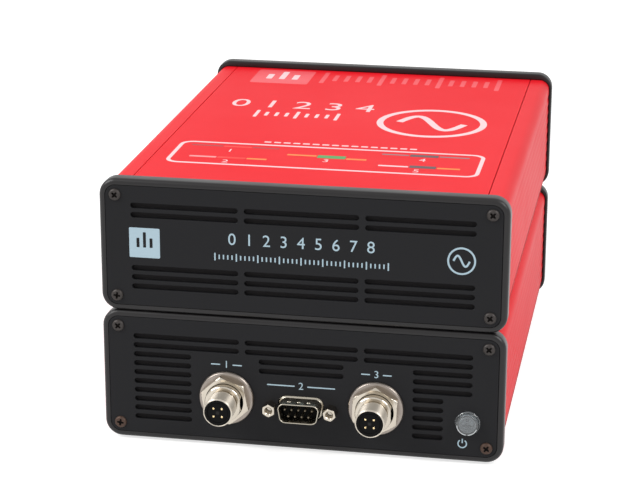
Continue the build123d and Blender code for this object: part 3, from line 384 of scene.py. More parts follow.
# The finish that each slot has on the CAD nodes that still show
SLOT_FINISHES = {
    finish.slot: finish
    for finish in (
        RED_CASE, BLACK_ABS, BLACK_SHEET, BLACK_OXIDE, NICKEL, GOLD, ZINC, BLACK_NYLON, WHITE_NYLON,
        CLEAR_LENS, RUBBER, CABLE, SOLDER_MASK, BARE_ALUMINIUM, FERRITE, WINDING_TAPE, BLUE_SLEEVE,
    )
}


# Outlines in the X-Z plane


def quarter(steps: int) -> list[float]:
    """Returns the angles of a quarter turn in even steps, from zero."""
    return [math.pi / 2 * i / steps for i in range(steps + 1)]


@dataclass(frozen=True)
class Outline:
    """A rounded rectangle, slot, circle or D shape that can grow or shrink evenly.

    Attributes:
        width: Size along X at the top.
        height: Size along Z.
        radius: Corner radius.
        x: Centre along X.
        z: Centre along Z.
        lean: How much each flank moves in by the bottom.
        steps: Segments in each corner.
    """

    width: float
    height: float
    radius: float
    x: float = 0.0
    z: float = 0.0
    lean: float = 0.0
    steps: int = 8

    def points(self, grow: float = 0.0) -> list[Point]:
        """Walks round the outline.

        Args:
            grow: Distance by which the outline is moved out.

        Returns:
            Points in order, from the right flank's foot.
        """
        half_w, half_h = self.width / 2 + grow, self.height / 2 + grow
        radius = min(max(self.radius + grow, 0.001), half_w, half_h)
        path = []
        for turn, (side, level) in enumerate(((1, 1), (-1, 1), (-1, -1), (1, -1))):
            lean = self.lean if level < 0 else 0.0
            x = self.x + side * (half_w - lean - radius)
            z = self.z + level * (half_h - radius)
            for i in range(self.steps + 1):
                angle = math.pi / 2 * (turn + i / self.steps)
                path.append((x + radius * math.cos(angle), z + radius * math.sin(angle)))
        return path


def disc(radius: float, x: float = 0.0, z: float = 0.0) -> Outline:
    """Returns a circle as an outline."""
    return Outline(2 * radius, 2 * radius, radius, x, z, steps=12)


def bar(width: float, height: float, radius: float, x: float, z: float) -> Outline:
    """Returns a small bar as an outline with few points."""
    return Outline(width, height, radius, x, z, steps=2)


def softened(points: Sequence[Point], radius: float, closed: bool = True, steps: int = 3) -> list[Point]:
    """Rounds the corners of a path.

    Args:
        points: Corners of the path.
        radius: Distance from each corner at which its curve starts.
        closed: Whether the last point joins the first.
        steps: Segments in each corner.

    Returns:
        The rounded path.
    """
    count = len(points)
    path: list[Point] = []
    for i, point in enumerate(points):
        if not closed and i in (0, count - 1):
            path.append(point)
            continue
        here = Vector(point)
        before = Vector(points[i - 1]) - here
        after = Vector(points[(i + 1) % count]) - here
        reach = min(radius, before.length * 0.45, after.length * 0.45)
        start, end = here + before.normalized() * reach, here + after.normalized() * reach
        for step in range(steps + 1):
            t = step / steps
            path.append(tuple(start * (1 - t) ** 2 + here * 2 * t * (1 - t) + end * t**2))
    return path


def hexagon(across: float, turn: float, count: int) -> list[Vector]:
    """Walks round a hexagon at even angles.

    Args:
        across: Distance across its flats.
        turn: Angle of a flat's middle in degrees.
        count: Points round it, a multiple of twelve, so that each corner has one.

    Returns:
        The points in order.
    """
    path = []
    for i in range(count):
        step = 2 * math.pi * i / count
        angle = step + math.radians(turn)
        radius = across / 2 / math.cos((step + math.pi / 6) % (math.pi / 3) - math.pi / 6)
        path.append(Vector((radius * math.cos(angle), radius * math.sin(angle))))
    return path


def rounded(points: Sequence[Vector], radius: float) -> list[Vector]:
    """Moves each point to a circle."""
    return [p.normalized() * radius for p in points]


def turned_corners(
    points: Sequence[Vector], inner: float, height: float, front: float, steps: int
) -> list[tuple[list[Vector], float]]:
    """Lists the sections of a hexagon's front, whose corners a lathe has turned off at 30 degrees.

    Args:
        points: The hexagon.
        inner: Radius of the turned face.
        height: Depth of the turned part.
        front: Depth of the front face.
        steps: Segments along the turned part.

    Returns:
        Sections from the front.
    """
    sections = []
    for i in range(steps + 1):
        depth = height * i / steps
        limit = inner + depth * math.tan(math.radians(60))
        sections.append(([p.normalized() * min(p.length, limit) for p in points], front + depth))
    return sections


# Meshes


def join(bm: BMesh, low: Loop, high: Loop) -> list[bmesh.types.BMFace]:
    """Adds the faces between two loops and returns them."""
    return [bm.faces.new((low[i - 1], low[i], high[i], high[i - 1])) for i in range(len(low))]


def fill(bm: BMesh, loops: Sequence[Loop]) -> None:
    """Adds a flat face inside the first loop and outside the others.

    Args:
        bm: Mesh that takes the face.
        loops: The outer loop and the holes.
    """
    verts = [v for loop in loops for v in loop]
    flat = [[Vector((v.co.x, v.co.z, 0)) for v in loop] for loop in loops]
    for triangle in tessellate_polygon(flat):
        if len(set(triangle)) == 3:
            bm.faces.new([verts[i] for i in triangle])


def add_loft(bm: BMesh, rings: Sequence[Loop], closed: bool = False) -> None:
    """Adds a skin over loops, which closes on itself or has two end faces.

    Args:
        bm: Mesh that takes the skin.
        rings: Loops with the same number of vertices.
        closed: Whether the last loop joins the first.
    """
    for low, high in zip(rings, rings[1:]):
        join(bm, low, high)
    if closed:
        join(bm, rings[-1], rings[0])
    else:
        bm.faces.new(rings[0])
        bm.faces.new(rings[-1])


def add_skin(
    bm: BMesh,
    sections: Iterable[tuple[Sequence[Point], float]],
    centre: Point = (0.0, 0.0),
    closed: bool = False,
) -> None:
    """Adds a skin over sections that have the same number of points.

    Args:
        bm: Mesh that takes the skin.
        sections: Points in X-Z and the depth of each section.
        centre: X and Z that the points are measured from.
        closed: Whether the last section joins the first.
    """
    add_loft(
        bm,
        [[bm.verts.new((centre[0] + x, y, centre[1] + z)) for x, z in points] for points, y in sections],
        closed,
    )


def add_turned(
    bm: BMesh,
    profile: Sequence[Point],
    centre: Point = (0.0, 0.0),
    flat: float = math.inf,
    closed: bool = False,
    count: int = 64,
) -> None:
    """Adds a turned form about the depth axis.

    Args:
        bm: Mesh that takes the form.
        profile: Radius and depth pairs.
        centre: X and Z of the axis.
        flat: Distance from the axis of a flat on the right.
        closed: Whether the profile closes on itself, as a ring does.
        count: Points round it.
    """
    angles = [2 * math.pi * i / count for i in range(count)]
    sections = []
    for radius, y in profile:
        # A pole keeps a tiny radius, so that no two of its points are one
        r = max(radius, 0.002)
        sections.append(([(min(r * math.cos(a), flat), r * math.sin(a)) for a in angles], y))
    add_skin(bm, sections, centre, closed)


def add_plate(
    bm: BMesh,
    outline: Outline | Sequence[Point],
    holes: Sequence[Outline],
    front: float,
    back: float,
    bevel: float = 0.0,
) -> None:
    """Adds a flat plate with holes and a small bevel on its front edges.

    Args:
        bm: Mesh that takes the plate.
        outline: The plate's outline.
        holes: The holes' outlines.
        front: Depth of the front face.
        back: Depth of the back face.
        bevel: Width of the bevel, or zero.
    """
    depths = [(front, bevel), (front + bevel, 0.0), (back, 0.0)] if bevel else [(front, 0.0), (back, 0.0)]
    fronts, backs = [], []
    for shape, sign in ((outline, -1), *[(hole, 1) for hole in holes]):
        rings = []
        for y, inset in depths:
            points = shape.points(sign * inset) if isinstance(shape, Outline) else shape
            rings.append([bm.verts.new((x, y, z)) for x, z in points])
        for low, high in zip(rings, rings[1:]):
            join(bm, low, high)
        fronts.append(rings[0])
        backs.append(rings[-1])
    fill(bm, fronts)
    fill(bm, backs)


def merge(bm: BMesh, part: BMesh, matrix: Matrix) -> None:
    """Adds a part to a mesh and frees it.

    Args:
        bm: Mesh that takes the part.
        part: The part.
        matrix: Takes the part to its place.
    """
    part.transform(matrix)
    mesh = bpy.data.meshes.new("part")
    part.to_mesh(mesh)
    part.free()
    bm.from_mesh(mesh)
    bpy.data.meshes.remove(mesh)


def box_of(node: str) -> tuple[Vector, Vector]:
    """Returns a CAD node's lowest and highest corners in millimetres."""
    low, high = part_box(node)
    return low / MM, high / MM


def centre_of(node: str) -> Vector:
    """Returns the middle of a CAD node's box in millimetres."""
    low, high = box_of(node)
    return (low + high) / 2


def face_of(node: str, end: End = End.FRONT) -> float:
    """Returns the depth of a CAD node's front or rear in millimetres."""
    low, high = box_of(node)
    return low.y if end is End.FRONT else high.y


def publish(
    name: str,
    bm: BMesh,
    finish: Finish,
    *replaced: str,
    body: str = CASE_BODY,
    sharp: float = 32.0,
    inner: Finish | None = None,
) -> None:
    """Turns a mesh in millimetres to a dressed piece in metres, hangs it on its body and hides the CAD
    nodes that it stands for.

    Args:
        name: Name of the piece.
        bm: The mesh, which is freed.
        finish: Its finish.
        replaced: CAD nodes that it stands for.
        body: CAD body that it moves with.
        sharp: Angle in degrees above which an edge stays sharp.
        inner: Finish of the faces that are marked with index one, if any are.
    """
    bmesh.ops.recalc_face_normals(bm, faces=bm.faces)
    bmesh.ops.scale(bm, vec=(MM, MM, MM), verts=bm.verts)
    mesh = bpy.data.meshes.new(name)
    bm.to_mesh(mesh)
    bm.free()
    mesh.shade_smooth()
    mesh.set_sharp_from_angle(angle=math.radians(sharp))
    for each in (finish, inner):
        if each:
            mesh.materials.append(each.material())
    piece = bpy.data.objects.new(name, mesh)
    bpy.context.scene.collection.objects.link(piece)
    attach(piece, body)
    if replaced:
        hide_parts(*replaced)
    LOG.info("%s: %d faces", name, len(mesh.polygons))


# Case


@dataclass
class Bezel:
    """A moulded end frame that covers the housing's end and holds the panel."""

    deck: Deck
    end: End
    width: float = 165.0
    height: float = 55.5
    radius: float = 7.0
    depth: float = 6.5
    front_round: float = 1.8
    back_round: float = 0.5
    margin: float = 2.5
    lip: float = 0.12
    panel_depth: float = 2.0
    web: float = 1.2
    ledge: float = 1.8
    socket: tuple[float, float, float] = (162.8, 50.1, 4.7)
    socket_bevel: float = 0.2

    def sections(self) -> list[tuple[list[Point], float]]:
        """Lists the frame's sections, from the socket round the outside to the panel's seat.

        Returns:
            Sections that close on themselves, with depths from the outer face.
        """
        cut = 2 * self.margin
        outer = Outline(self.width, self.height, self.radius, steps=10)
        panel = Outline(self.width - cut, self.height - cut, self.radius - self.margin, steps=10)
        socket = Outline(*self.socket, steps=10)
        seat = self.panel_depth + self.web
        rows = [
            (socket, 0.0, seat),
            (socket, 0.0, self.depth - self.socket_bevel),
            (socket, self.socket_bevel, self.depth),
        ]
        for a in quarter(3):
            inset = self.back_round * (1 - math.sin(a))
            rows.append((outer, -inset, self.depth - self.back_round * (1 - math.cos(a))))
        for a in quarter(6):
            inset = self.front_round * (1 - math.cos(a))
            rows.append((outer, -inset, self.front_round * (1 - math.sin(a))))
        rows += [
            (panel, self.lip, 0.0),
            (panel, 0.0, self.lip),
            (panel, 0.0, self.panel_depth),
            (panel, -self.ledge, self.panel_depth),
            (panel, -self.ledge, seat),
        ]
        return [(outline.points(grow), y) for outline, grow, y in rows]

    def build(self) -> None:
        """Builds the frame at its end of its deck."""
        node = f"{self.deck.value}_{self.end.name.lower()}_bezel"
        face, middle = face_of(node, self.end), centre_of(node)
        rows = [(points, face - self.end.value * y) for points, y in self.sections()]
        bm = bmesh.new()
        add_skin(bm, rows, (middle.x, middle.z), closed=True)
        publish(f"{node}_frame", bm, BLACK_ABS, node)


@dataclass
class Panel:
    """A flush slotted end panel."""

    deck: Deck
    end: End
    slot_height: float = 2.3
    pitch: float = 3.9
    top: float = 17.0
    edge: float = 69.5
    rib: float = 2.4
    upper_rows: tuple[float, ...] = (17.0, 13.1, -9.2, -13.1, -17.0)
    side_slot: float = 45.5
    short_edge: float = 58.0
    middle_slot: float = 17.4
    rear_slot: float = -16.0
    fan_bore: float = 19.0
    corner: float = 4.4
    bevel: float = 0.12
    side_rows: int = 10
    long_rows: int = 5
    middle_rows: int = 4
    rear_rows: int = 8
    fan_rows: int = 4
    screw_hole: float = 1.3
    cell_hole: float = 7.8
    sense_hole: tuple[float, float, float] = (18.9, 10.4, 3.4)
    sense_lean: float = 0.6
    jack_hole: float = 1.75
    power_hole: float = 4.95
    fan_screw_hole: float = 1.6
    inlet_hole: tuple[float, float, float] = (27.5, 20.1, 0.5)
    inlet_screw_hole: float = 1.55
    data_hole: tuple[float, float, float] = (12.5, 11.5, 0.4)
    earth_hole: float = 3.05

    @property
    def node(self) -> str:
        """The panel's CAD node."""
        return f"{self.deck.value}_{self.end.name.lower()}_panel"

    def row(self, z: float, *spans: Point) -> list[Outline]:
        """Makes the round-ended slots of one row.

        Args:
            z: Height from the panel's centre.
            spans: Left and right ends of each slot.

        Returns:
            One outline for each slot.
        """
        h = self.slot_height
        return [Outline(b - a, h, h / 2, (a + b) / 2, z, steps=5) for a, b in spans]

    def full_row(self, z: float) -> list[Outline]:
        """Makes a row of three wide slots.

        Args:
            z: Height from the panel's centre.

        Returns:
            Their outlines.
        """
        middle = self.edge / 3
        inner = middle + self.rib
        return self.row(z, (-self.edge, -inner), (-middle, middle), (inner, self.edge))

    def top_rows(self) -> list[Outline]:
        """Returns the lower deck's two upper rows of slots."""
        return self.full_row(self.top) + self.full_row(self.top - self.pitch)

    def holes(self) -> list[Outline]:
        """Lists the panel's holes from its centre.

        Returns:
            Their outlines.
        """
        rows = {
            (Deck.UPPER, End.FRONT): self.upper_front,
            (Deck.LOWER, End.FRONT): self.lower_front,
            (Deck.UPPER, End.REAR): self.upper_rear,
            (Deck.LOWER, End.REAR): self.lower_rear,
        }[self.deck, self.end]
        return [disc(self.screw_hole, sx * SCREW_X, sz * SCREW_Z) for sx, sz in CORNERS] + rows()

    def upper_front(self) -> list[Outline]:
        """Returns two rows of slots above the print and three below it."""
        return [slot for z in self.upper_rows for slot in self.full_row(z)]

    def lower_front(self) -> list[Outline]:
        """Lists the slots round the connectors, and the connectors' own holes.

        Returns:
            Their outlines.
        """
        holes = self.top_rows()
        for row in range(2, self.side_rows):
            right = self.edge if row < self.long_rows else self.short_edge
            spans = [(-self.edge, -self.side_slot), (self.side_slot, right)]
            if row < self.middle_rows:
                spans.append((-self.middle_slot, self.middle_slot))
            holes += self.row(self.top - row * self.pitch, *spans)
        holes += [disc(self.cell_hole, side * CELL_X, CELL_Z) for side in SIDES]
        holes.append(Outline(*self.sense_hole, 0.0, SENSE_Z, self.sense_lean))
        holes += [disc(self.jack_hole, side * JACK_X, SENSE_Z) for side in SIDES]
        holes.append(disc(self.power_hole, POWER_X, POWER_Z))
        return holes

    def upper_rear(self) -> list[Outline]:
        """Lists the slots over the fan, its screw holes and the supply inlet's opening.

        Returns:
            Their outlines.
        """
        fan = centre_of("fan_frame") - centre_of(self.node)
        inlet = centre_of("supply_inlet") - centre_of(self.node)
        holes = []
        for row in range(-self.fan_rows, self.fan_rows + 1):
            z = row * self.pitch
            half = math.sqrt((self.fan_bore - self.slot_height) ** 2 - z**2)
            holes += self.row(z, (fan.x - half, fan.x + half))
        for sx, sz in CORNERS:
            holes.append(disc(self.fan_screw_hole, fan.x + sx * FAN_SCREW, fan.z + sz * FAN_SCREW))
        holes.append(Outline(*self.inlet_hole, inlet.x, inlet.z))
        holes += [disc(self.inlet_screw_hole, inlet.x + side * INLET_SCREW, inlet.z) for side in SIDES]
        return holes

    def lower_rear(self) -> list[Outline]:
        """Lists the slots, and the openings of the data and earth sockets.

        Returns:
            Their outlines.
        """
        data = centre_of("usb_shell") - centre_of(self.node)
        earth = centre_of("earth_collar") - centre_of(self.node)
        holes = self.top_rows()
        for row in range(2, self.rear_rows):
            holes += self.row(self.top - row * self.pitch, (-self.edge, self.rear_slot))
        return [*holes, Outline(*self.data_hole, data.x, data.z), disc(self.earth_hole, earth.x, earth.z)]

    def build(self) -> None:
        """Builds the panel in its bezel."""
        low, high = box_of(self.node)
        size, middle = high - low, (low + high) / 2
        bm = bmesh.new()
        outline = Outline(size.x, size.z, self.corner, steps=10)
        add_plate(bm, outline, self.holes(), 0.0, size.y, self.bevel)
        if self.end is End.REAR:
            bmesh.ops.scale(bm, vec=(1, -1, 1), verts=bm.verts)
        place = (middle.x, face_of(self.node, self.end), middle.z)
        bmesh.ops.translate(bm, vec=place, verts=bm.verts)
        publish(f"{self.node}_sheet", bm, BLACK_SHEET, self.node)


@dataclass
class CrossScrew:
    """A screw with a cross recess, in a low round head or in a sunk one."""

    head_radius: float = 2.5
    head_height: float = 0.9
    shank_radius: float = 1.25
    length: float = 14.0
    arm: float = 1.42
    arm_width: float = 0.72
    recess: float = 0.9
    sunk: bool = False
    sunk_depth: float = 1.4

    def cross(self, scale: float) -> list[Point]:
        """Walks round the recess.

        Args:
            scale: Size against the mouth of the recess.

        Returns:
            The cross's corners.
        """
        a, w = self.arm * scale, self.arm_width / 2 * scale
        path = []
        for turn in range(4):
            c, s = math.cos(math.pi / 2 * turn), math.sin(math.pi / 2 * turn)
            path += [(x * c - z * s, x * s + z * c) for x, z in ((a, -w), (a, w), (w * 1.3, w * 1.3))]
        return softened(path, 0.12, steps=2)

    def add(self, bm: BMesh, place: Vector, end: End, turn: float) -> None:
        """Adds one screw.

        Args:
            bm: Mesh that takes it.
            place: Middle of the underside of its head, or of a sunk head's face.
            end: The way that its head faces.
            turn: Angle of the cross in degrees.
        """
        part = bmesh.new()
        r, h, shank = self.head_radius, self.head_height, self.shank_radius
        top, rim = (0.0, 0.97) if self.sunk else (-h, 0.78)
        if self.sunk:
            edge = [(r, 0.05), (shank, self.sunk_depth)]
        else:
            edge = [(0.92 * r, -0.75 * h), (0.99 * r, -0.35 * h), (r, 0.0), (shank, 0.0)]
        loops = [
            [part.verts.new((x, y, z)) for x, z in points]
            for points, y in (
                (disc(r * rim).points(), top),
                (self.cross(1.0), top),
                (self.cross(0.7), top + self.recess),
                *[(disc(radius).points(), y) for radius, y in (*edge, (shank, self.length))],
            )
        ]
        ring, mouth, floor = loops[:3]
        fill(part, [ring, mouth])
        # Walls and floor of the recess take the second finish: painted shade, nearly black
        for inner in (*join(part, mouth, floor), part.faces.new(floor)):
            inner.material_index = 1
        for low, high in zip([ring, *loops[3:]], loops[3:]):
            join(part, low, high)
        part.faces.new(loops[-1])
        matrix = Matrix.Translation(place) @ Matrix.Diagonal((1, -end.value, 1, 1))
        merge(bm, part, matrix @ Matrix.Rotation(math.radians(turn), 4, "Y"))


@dataclass
class PanelScrews:
    """The corner screws of one deck, front and rear."""

    deck: Deck
    screw: CrossScrew = field(default_factory=CrossScrew)
    turns: tuple[float, ...] = (40.0, 44.0, 36.0, 8.0)

    def build(self) -> None:
        """Builds the screws, with the lower deck's low front pair browned."""
        node = f"{self.deck.value}_panel_screws"
        plain, browned = bmesh.new(), bmesh.new()
        for end in End:
            panel = f"{self.deck.value}_{end.name.lower()}_panel"
            face, middle = face_of(panel, end), centre_of(panel)
            for (sx, sz), turn in zip(SCREW_CORNERS, self.turns):
                place = Vector((middle.x + sx * SCREW_X, face, middle.z + sz * SCREW_Z))
                aged = self.deck is Deck.LOWER and end is End.FRONT and sz < 0
                self.screw.add(browned if aged else plain, place, end, turn)
        publish(f"{node}_plain", plain, BLACK_OXIDE, node, inner=RECESS_SHADE)
        if browned.verts:
            publish(f"{node}_browned", browned, BROWNED_OXIDE, inner=RECESS_SHADE)
        else:
            browned.free()


@dataclass
class Housing:
    """The fluted extrusion of one deck: a tray with lips that hold the cover."""

    deck: Deck
    width: float = 162.4
    height: float = 49.7
    radius: float = 4.5
    wall: float = 2.2
    flutes: int = 9
    pitch: float = 4.678
    rise: float = 0.34
    seam: float = 72.4
    lip: float = 1.2
    cover: float = 2.4
    groove: float = 1.6
    ledge: float = 1.3
    ledge_width: float = 1.0
    inner_bevel: float = 2.0

    def side(self) -> list[Point]:
        """Walks up the right side's flutes.

        Returns:
            Points from the lowest flute's foot to the highest one's top.
        """
        path = []
        zone = self.flutes * self.pitch
        for i in range(self.flutes):
            for step in range(8):
                t = step / 8
                drop = self.rise * (1 - 4 * t * (1 - t))
                path.append((self.width / 2 - drop, -zone / 2 + (i + t) * self.pitch))
        path.append((self.width / 2 - self.rise, zone / 2))
        return path

    def section(self) -> list[Point]:
        """Walks round the tray's section.

        Returns:
            Points from the middle of the underside, round the right side and back by the left.
        """
        half_w, half_h, r = self.width / 2, self.height / 2, self.radius
        inner_x, floor = half_w - self.wall, self.wall - half_h
        base = half_h - self.cover
        corner = [(half_w - r + r * math.cos(a), half_h - r + r * math.sin(a)) for a in quarter(8)]
        right = [
            (0.0, -half_h),
            *[(x, -z) for x, z in reversed(corner)],
            *self.side(),
            *corner,
            (self.seam, half_h),
            (self.seam, half_h - self.lip),
            (self.seam + self.groove, half_h - self.lip),
            (self.seam + self.groove, base),
            (self.seam - self.ledge_width, base),
            (self.seam - self.ledge_width, base - self.ledge),
            (inner_x, base - self.ledge),
            (inner_x, floor + self.inner_bevel),
            (inner_x - self.inner_bevel, floor),
            (0.0, floor),
        ]
        return right + [(-x, z) for x, z in reversed(right[1:-1])]

    def build(self) -> None:
        """Builds the tray between its bezels."""
        node = f"{self.deck.value}_housing"
        low, high = box_of(node)
        middle = (low + high) / 2
        bm = bmesh.new()
        add_plate(bm, [(middle.x + x, middle.z + z) for x, z in self.section()], [], low.y, high.y)
        publish(f"{node}_tray", bm, RED_TRAY, node, sharp=20.0)


# Connectors


class Mounted:
    """What goes through the lower front panel, with depths from the panel's face."""

    def seat(self, node: str) -> None:
        """Reads the axis from a CAD node, and the panel's face.

        Args:
            node: CAD node on the axis.
        """
        middle = centre_of(node)
        self.axis: Point = (middle.x, middle.z)
        self.face = face_of("lower_front_panel")

    def turn(
        self, bm: BMesh, profile: Sequence[Point], x: float = 0.0, z: float = 0.0, **how: object
    ) -> BMesh:
        """Adds a turned form to a mesh.

        Args:
            bm: Mesh that takes the form.
            profile: Radius and depth pairs, with depths from the panel's face.
            x: Distance of the form to the right of the axis.
            z: Distance of the form above the axis.
            how: What add_turned takes besides.

        Returns:
            The same mesh.
        """
        centre = (self.axis[0] + x, self.axis[1] + z)
        add_turned(bm, [(r, self.face + y) for r, y in profile], centre, **how)
        return bm


@dataclass
class CellConnector(Mounted):
    """A round four-pole connector with its nut and washer."""

    name: str
    nut_turn: float
    tip_radius: float = 6.0
    tip_length: float = 8.6
    neck_radius: float = 5.5
    neck_length: float = 0.8
    out: float = 17.0
    body_radius: float = 7.6
    flat: float = 7.05
    bore: float = 5.2
    mouth: float = 5.46
    end_radius: float = 5.64
    washer_radius: float = 11.5
    washer_height: float = 1.5
    nut_across: float = 18.0
    nut_height: float = 3.0
    nut_bevel: float = 0.6
    contact_pitch: float = 3.4
    contact_radius: float = 0.5

    def build_shell(self) -> None:
        """Builds the plated shell, with its flat, neck and tip."""
        tip_back = self.tip_length - self.out
        shoulder = tip_back + self.neck_length
        body = [
            (self.bore, 12.0), (6.6, 12.0), (6.6, 4.5), (9.5, 4.5), (9.5, 2.0), (self.body_radius, 2.0),
            (self.body_radius, shoulder + 0.45), (self.body_radius - 0.45, shoulder),
            (self.neck_radius, shoulder), (self.neck_radius, tip_back), (self.bore, tip_back),
        ]
        tip = [
            (self.bore, tip_back), (self.neck_radius, tip_back), (self.tip_radius - 0.3, tip_back),
            (self.tip_radius, tip_back - 0.35), (self.tip_radius, 0.5 - self.out),
            (self.end_radius, -self.out), (self.mouth, -self.out), (self.mouth, 1.5 - self.out),
            (self.bore, 1.6 - self.out),
        ]
        node = f"{self.name}_shell"
        bm = self.turn(bmesh.new(), softened(body, 0.15), flat=self.flat, closed=True, count=96)
        publish(f"{node}_body", bm, NICKEL, node)
        bm = self.turn(bmesh.new(), softened(tip, 0.12), closed=True, count=96)
        publish(f"{node}_tip", bm, TURNED_NICKEL)

    def build_washer(self) -> None:
        """Builds the broad washer under the nut."""
        hole, r, h = self.body_radius + 0.2, self.washer_radius, self.washer_height
        profile = [(hole, 0.0), (r, 0.0), (r, -0.5), (r - 0.5, -h + 0.15), (r - 1.0, -h), (hole, -h)]
        bm = self.turn(bmesh.new(), softened(profile, 0.25), closed=True, count=96)
        publish(f"{self.name}_washer", bm, SATIN_NICKEL, "cell_washers")

    def build_nut(self) -> None:
        """Builds the hexagonal nut, with its corners turned off at the front."""
        back = self.face - self.washer_height
        front = back - self.nut_height
        outside = hexagon(self.nut_across, self.nut_turn, 96)
        hole = rounded(outside, self.body_radius + 0.12)
        mouth = rounded(outside, self.body_radius + 0.25)
        bevel = turned_corners(outside, self.nut_across / 2 * 1.04, self.nut_bevel, front, 6)
        sections = [(hole, back), (outside, back), *reversed(bevel), (mouth, front), (hole, front + 0.3)]
        bm = bmesh.new()
        add_skin(bm, sections, self.axis, closed=True)
        publish(f"{self.name}_nut", bm, NICKEL, "cell_nuts", sharp=22.0)

    def build_insert(self) -> None:
        """Builds the moulded insert, its polished centre and the contacts."""
        front = 0.05 - self.out
        dish = front + 0.14
        profile = [
            (0.0, 12.6), (5.15, 12.6), (5.15, 1.55 - self.out), (5.42, 1.45 - self.out),
            (5.42, front + 0.1), (5.32, front), (4.45, front),
            (4.3, front + 0.12), (4.3, front + 0.5), (4.2, front + 0.5), (4.2, front + 0.25),
            (4.05, dish), (0.0, dish),
        ]
        node = f"{self.name}_insert"
        bm = self.turn(bmesh.new(), softened(profile, 0.06, closed=False))
        publish(f"{node}_moulding", bm, BLACK_NYLON, node)
        bm = bmesh.new()
        key = Outline(1.4, 1.3, 0.2, *self.axis, steps=3)
        add_plate(bm, key, [], self.face + front + 0.04, self.face + front + 0.2, 0.04)
        publish(f"{node}_key", bm, GREY_NYLON)
        bm = bmesh.new()
        r, half, tip = self.contact_radius, self.contact_pitch / 2, dish - 0.18
        pin = softened([(0.0, tip), (r * 0.55, tip), (r, tip + 0.25), (r, 14.0), (0.0, 14.0)], 0.15, False)
        for sx, sz in CORNERS:
            self.turn(bm, pin, sx * half, sz * half, count=20)
        publish(f"{self.name}_contacts", bm, GOLD, "cell_contacts")

    def build(self) -> None:
        """Builds the whole connector."""
        self.seat(f"{self.name}_shell")
        self.build_shell()
        self.build_washer()
        self.build_nut()
        self.build_insert()


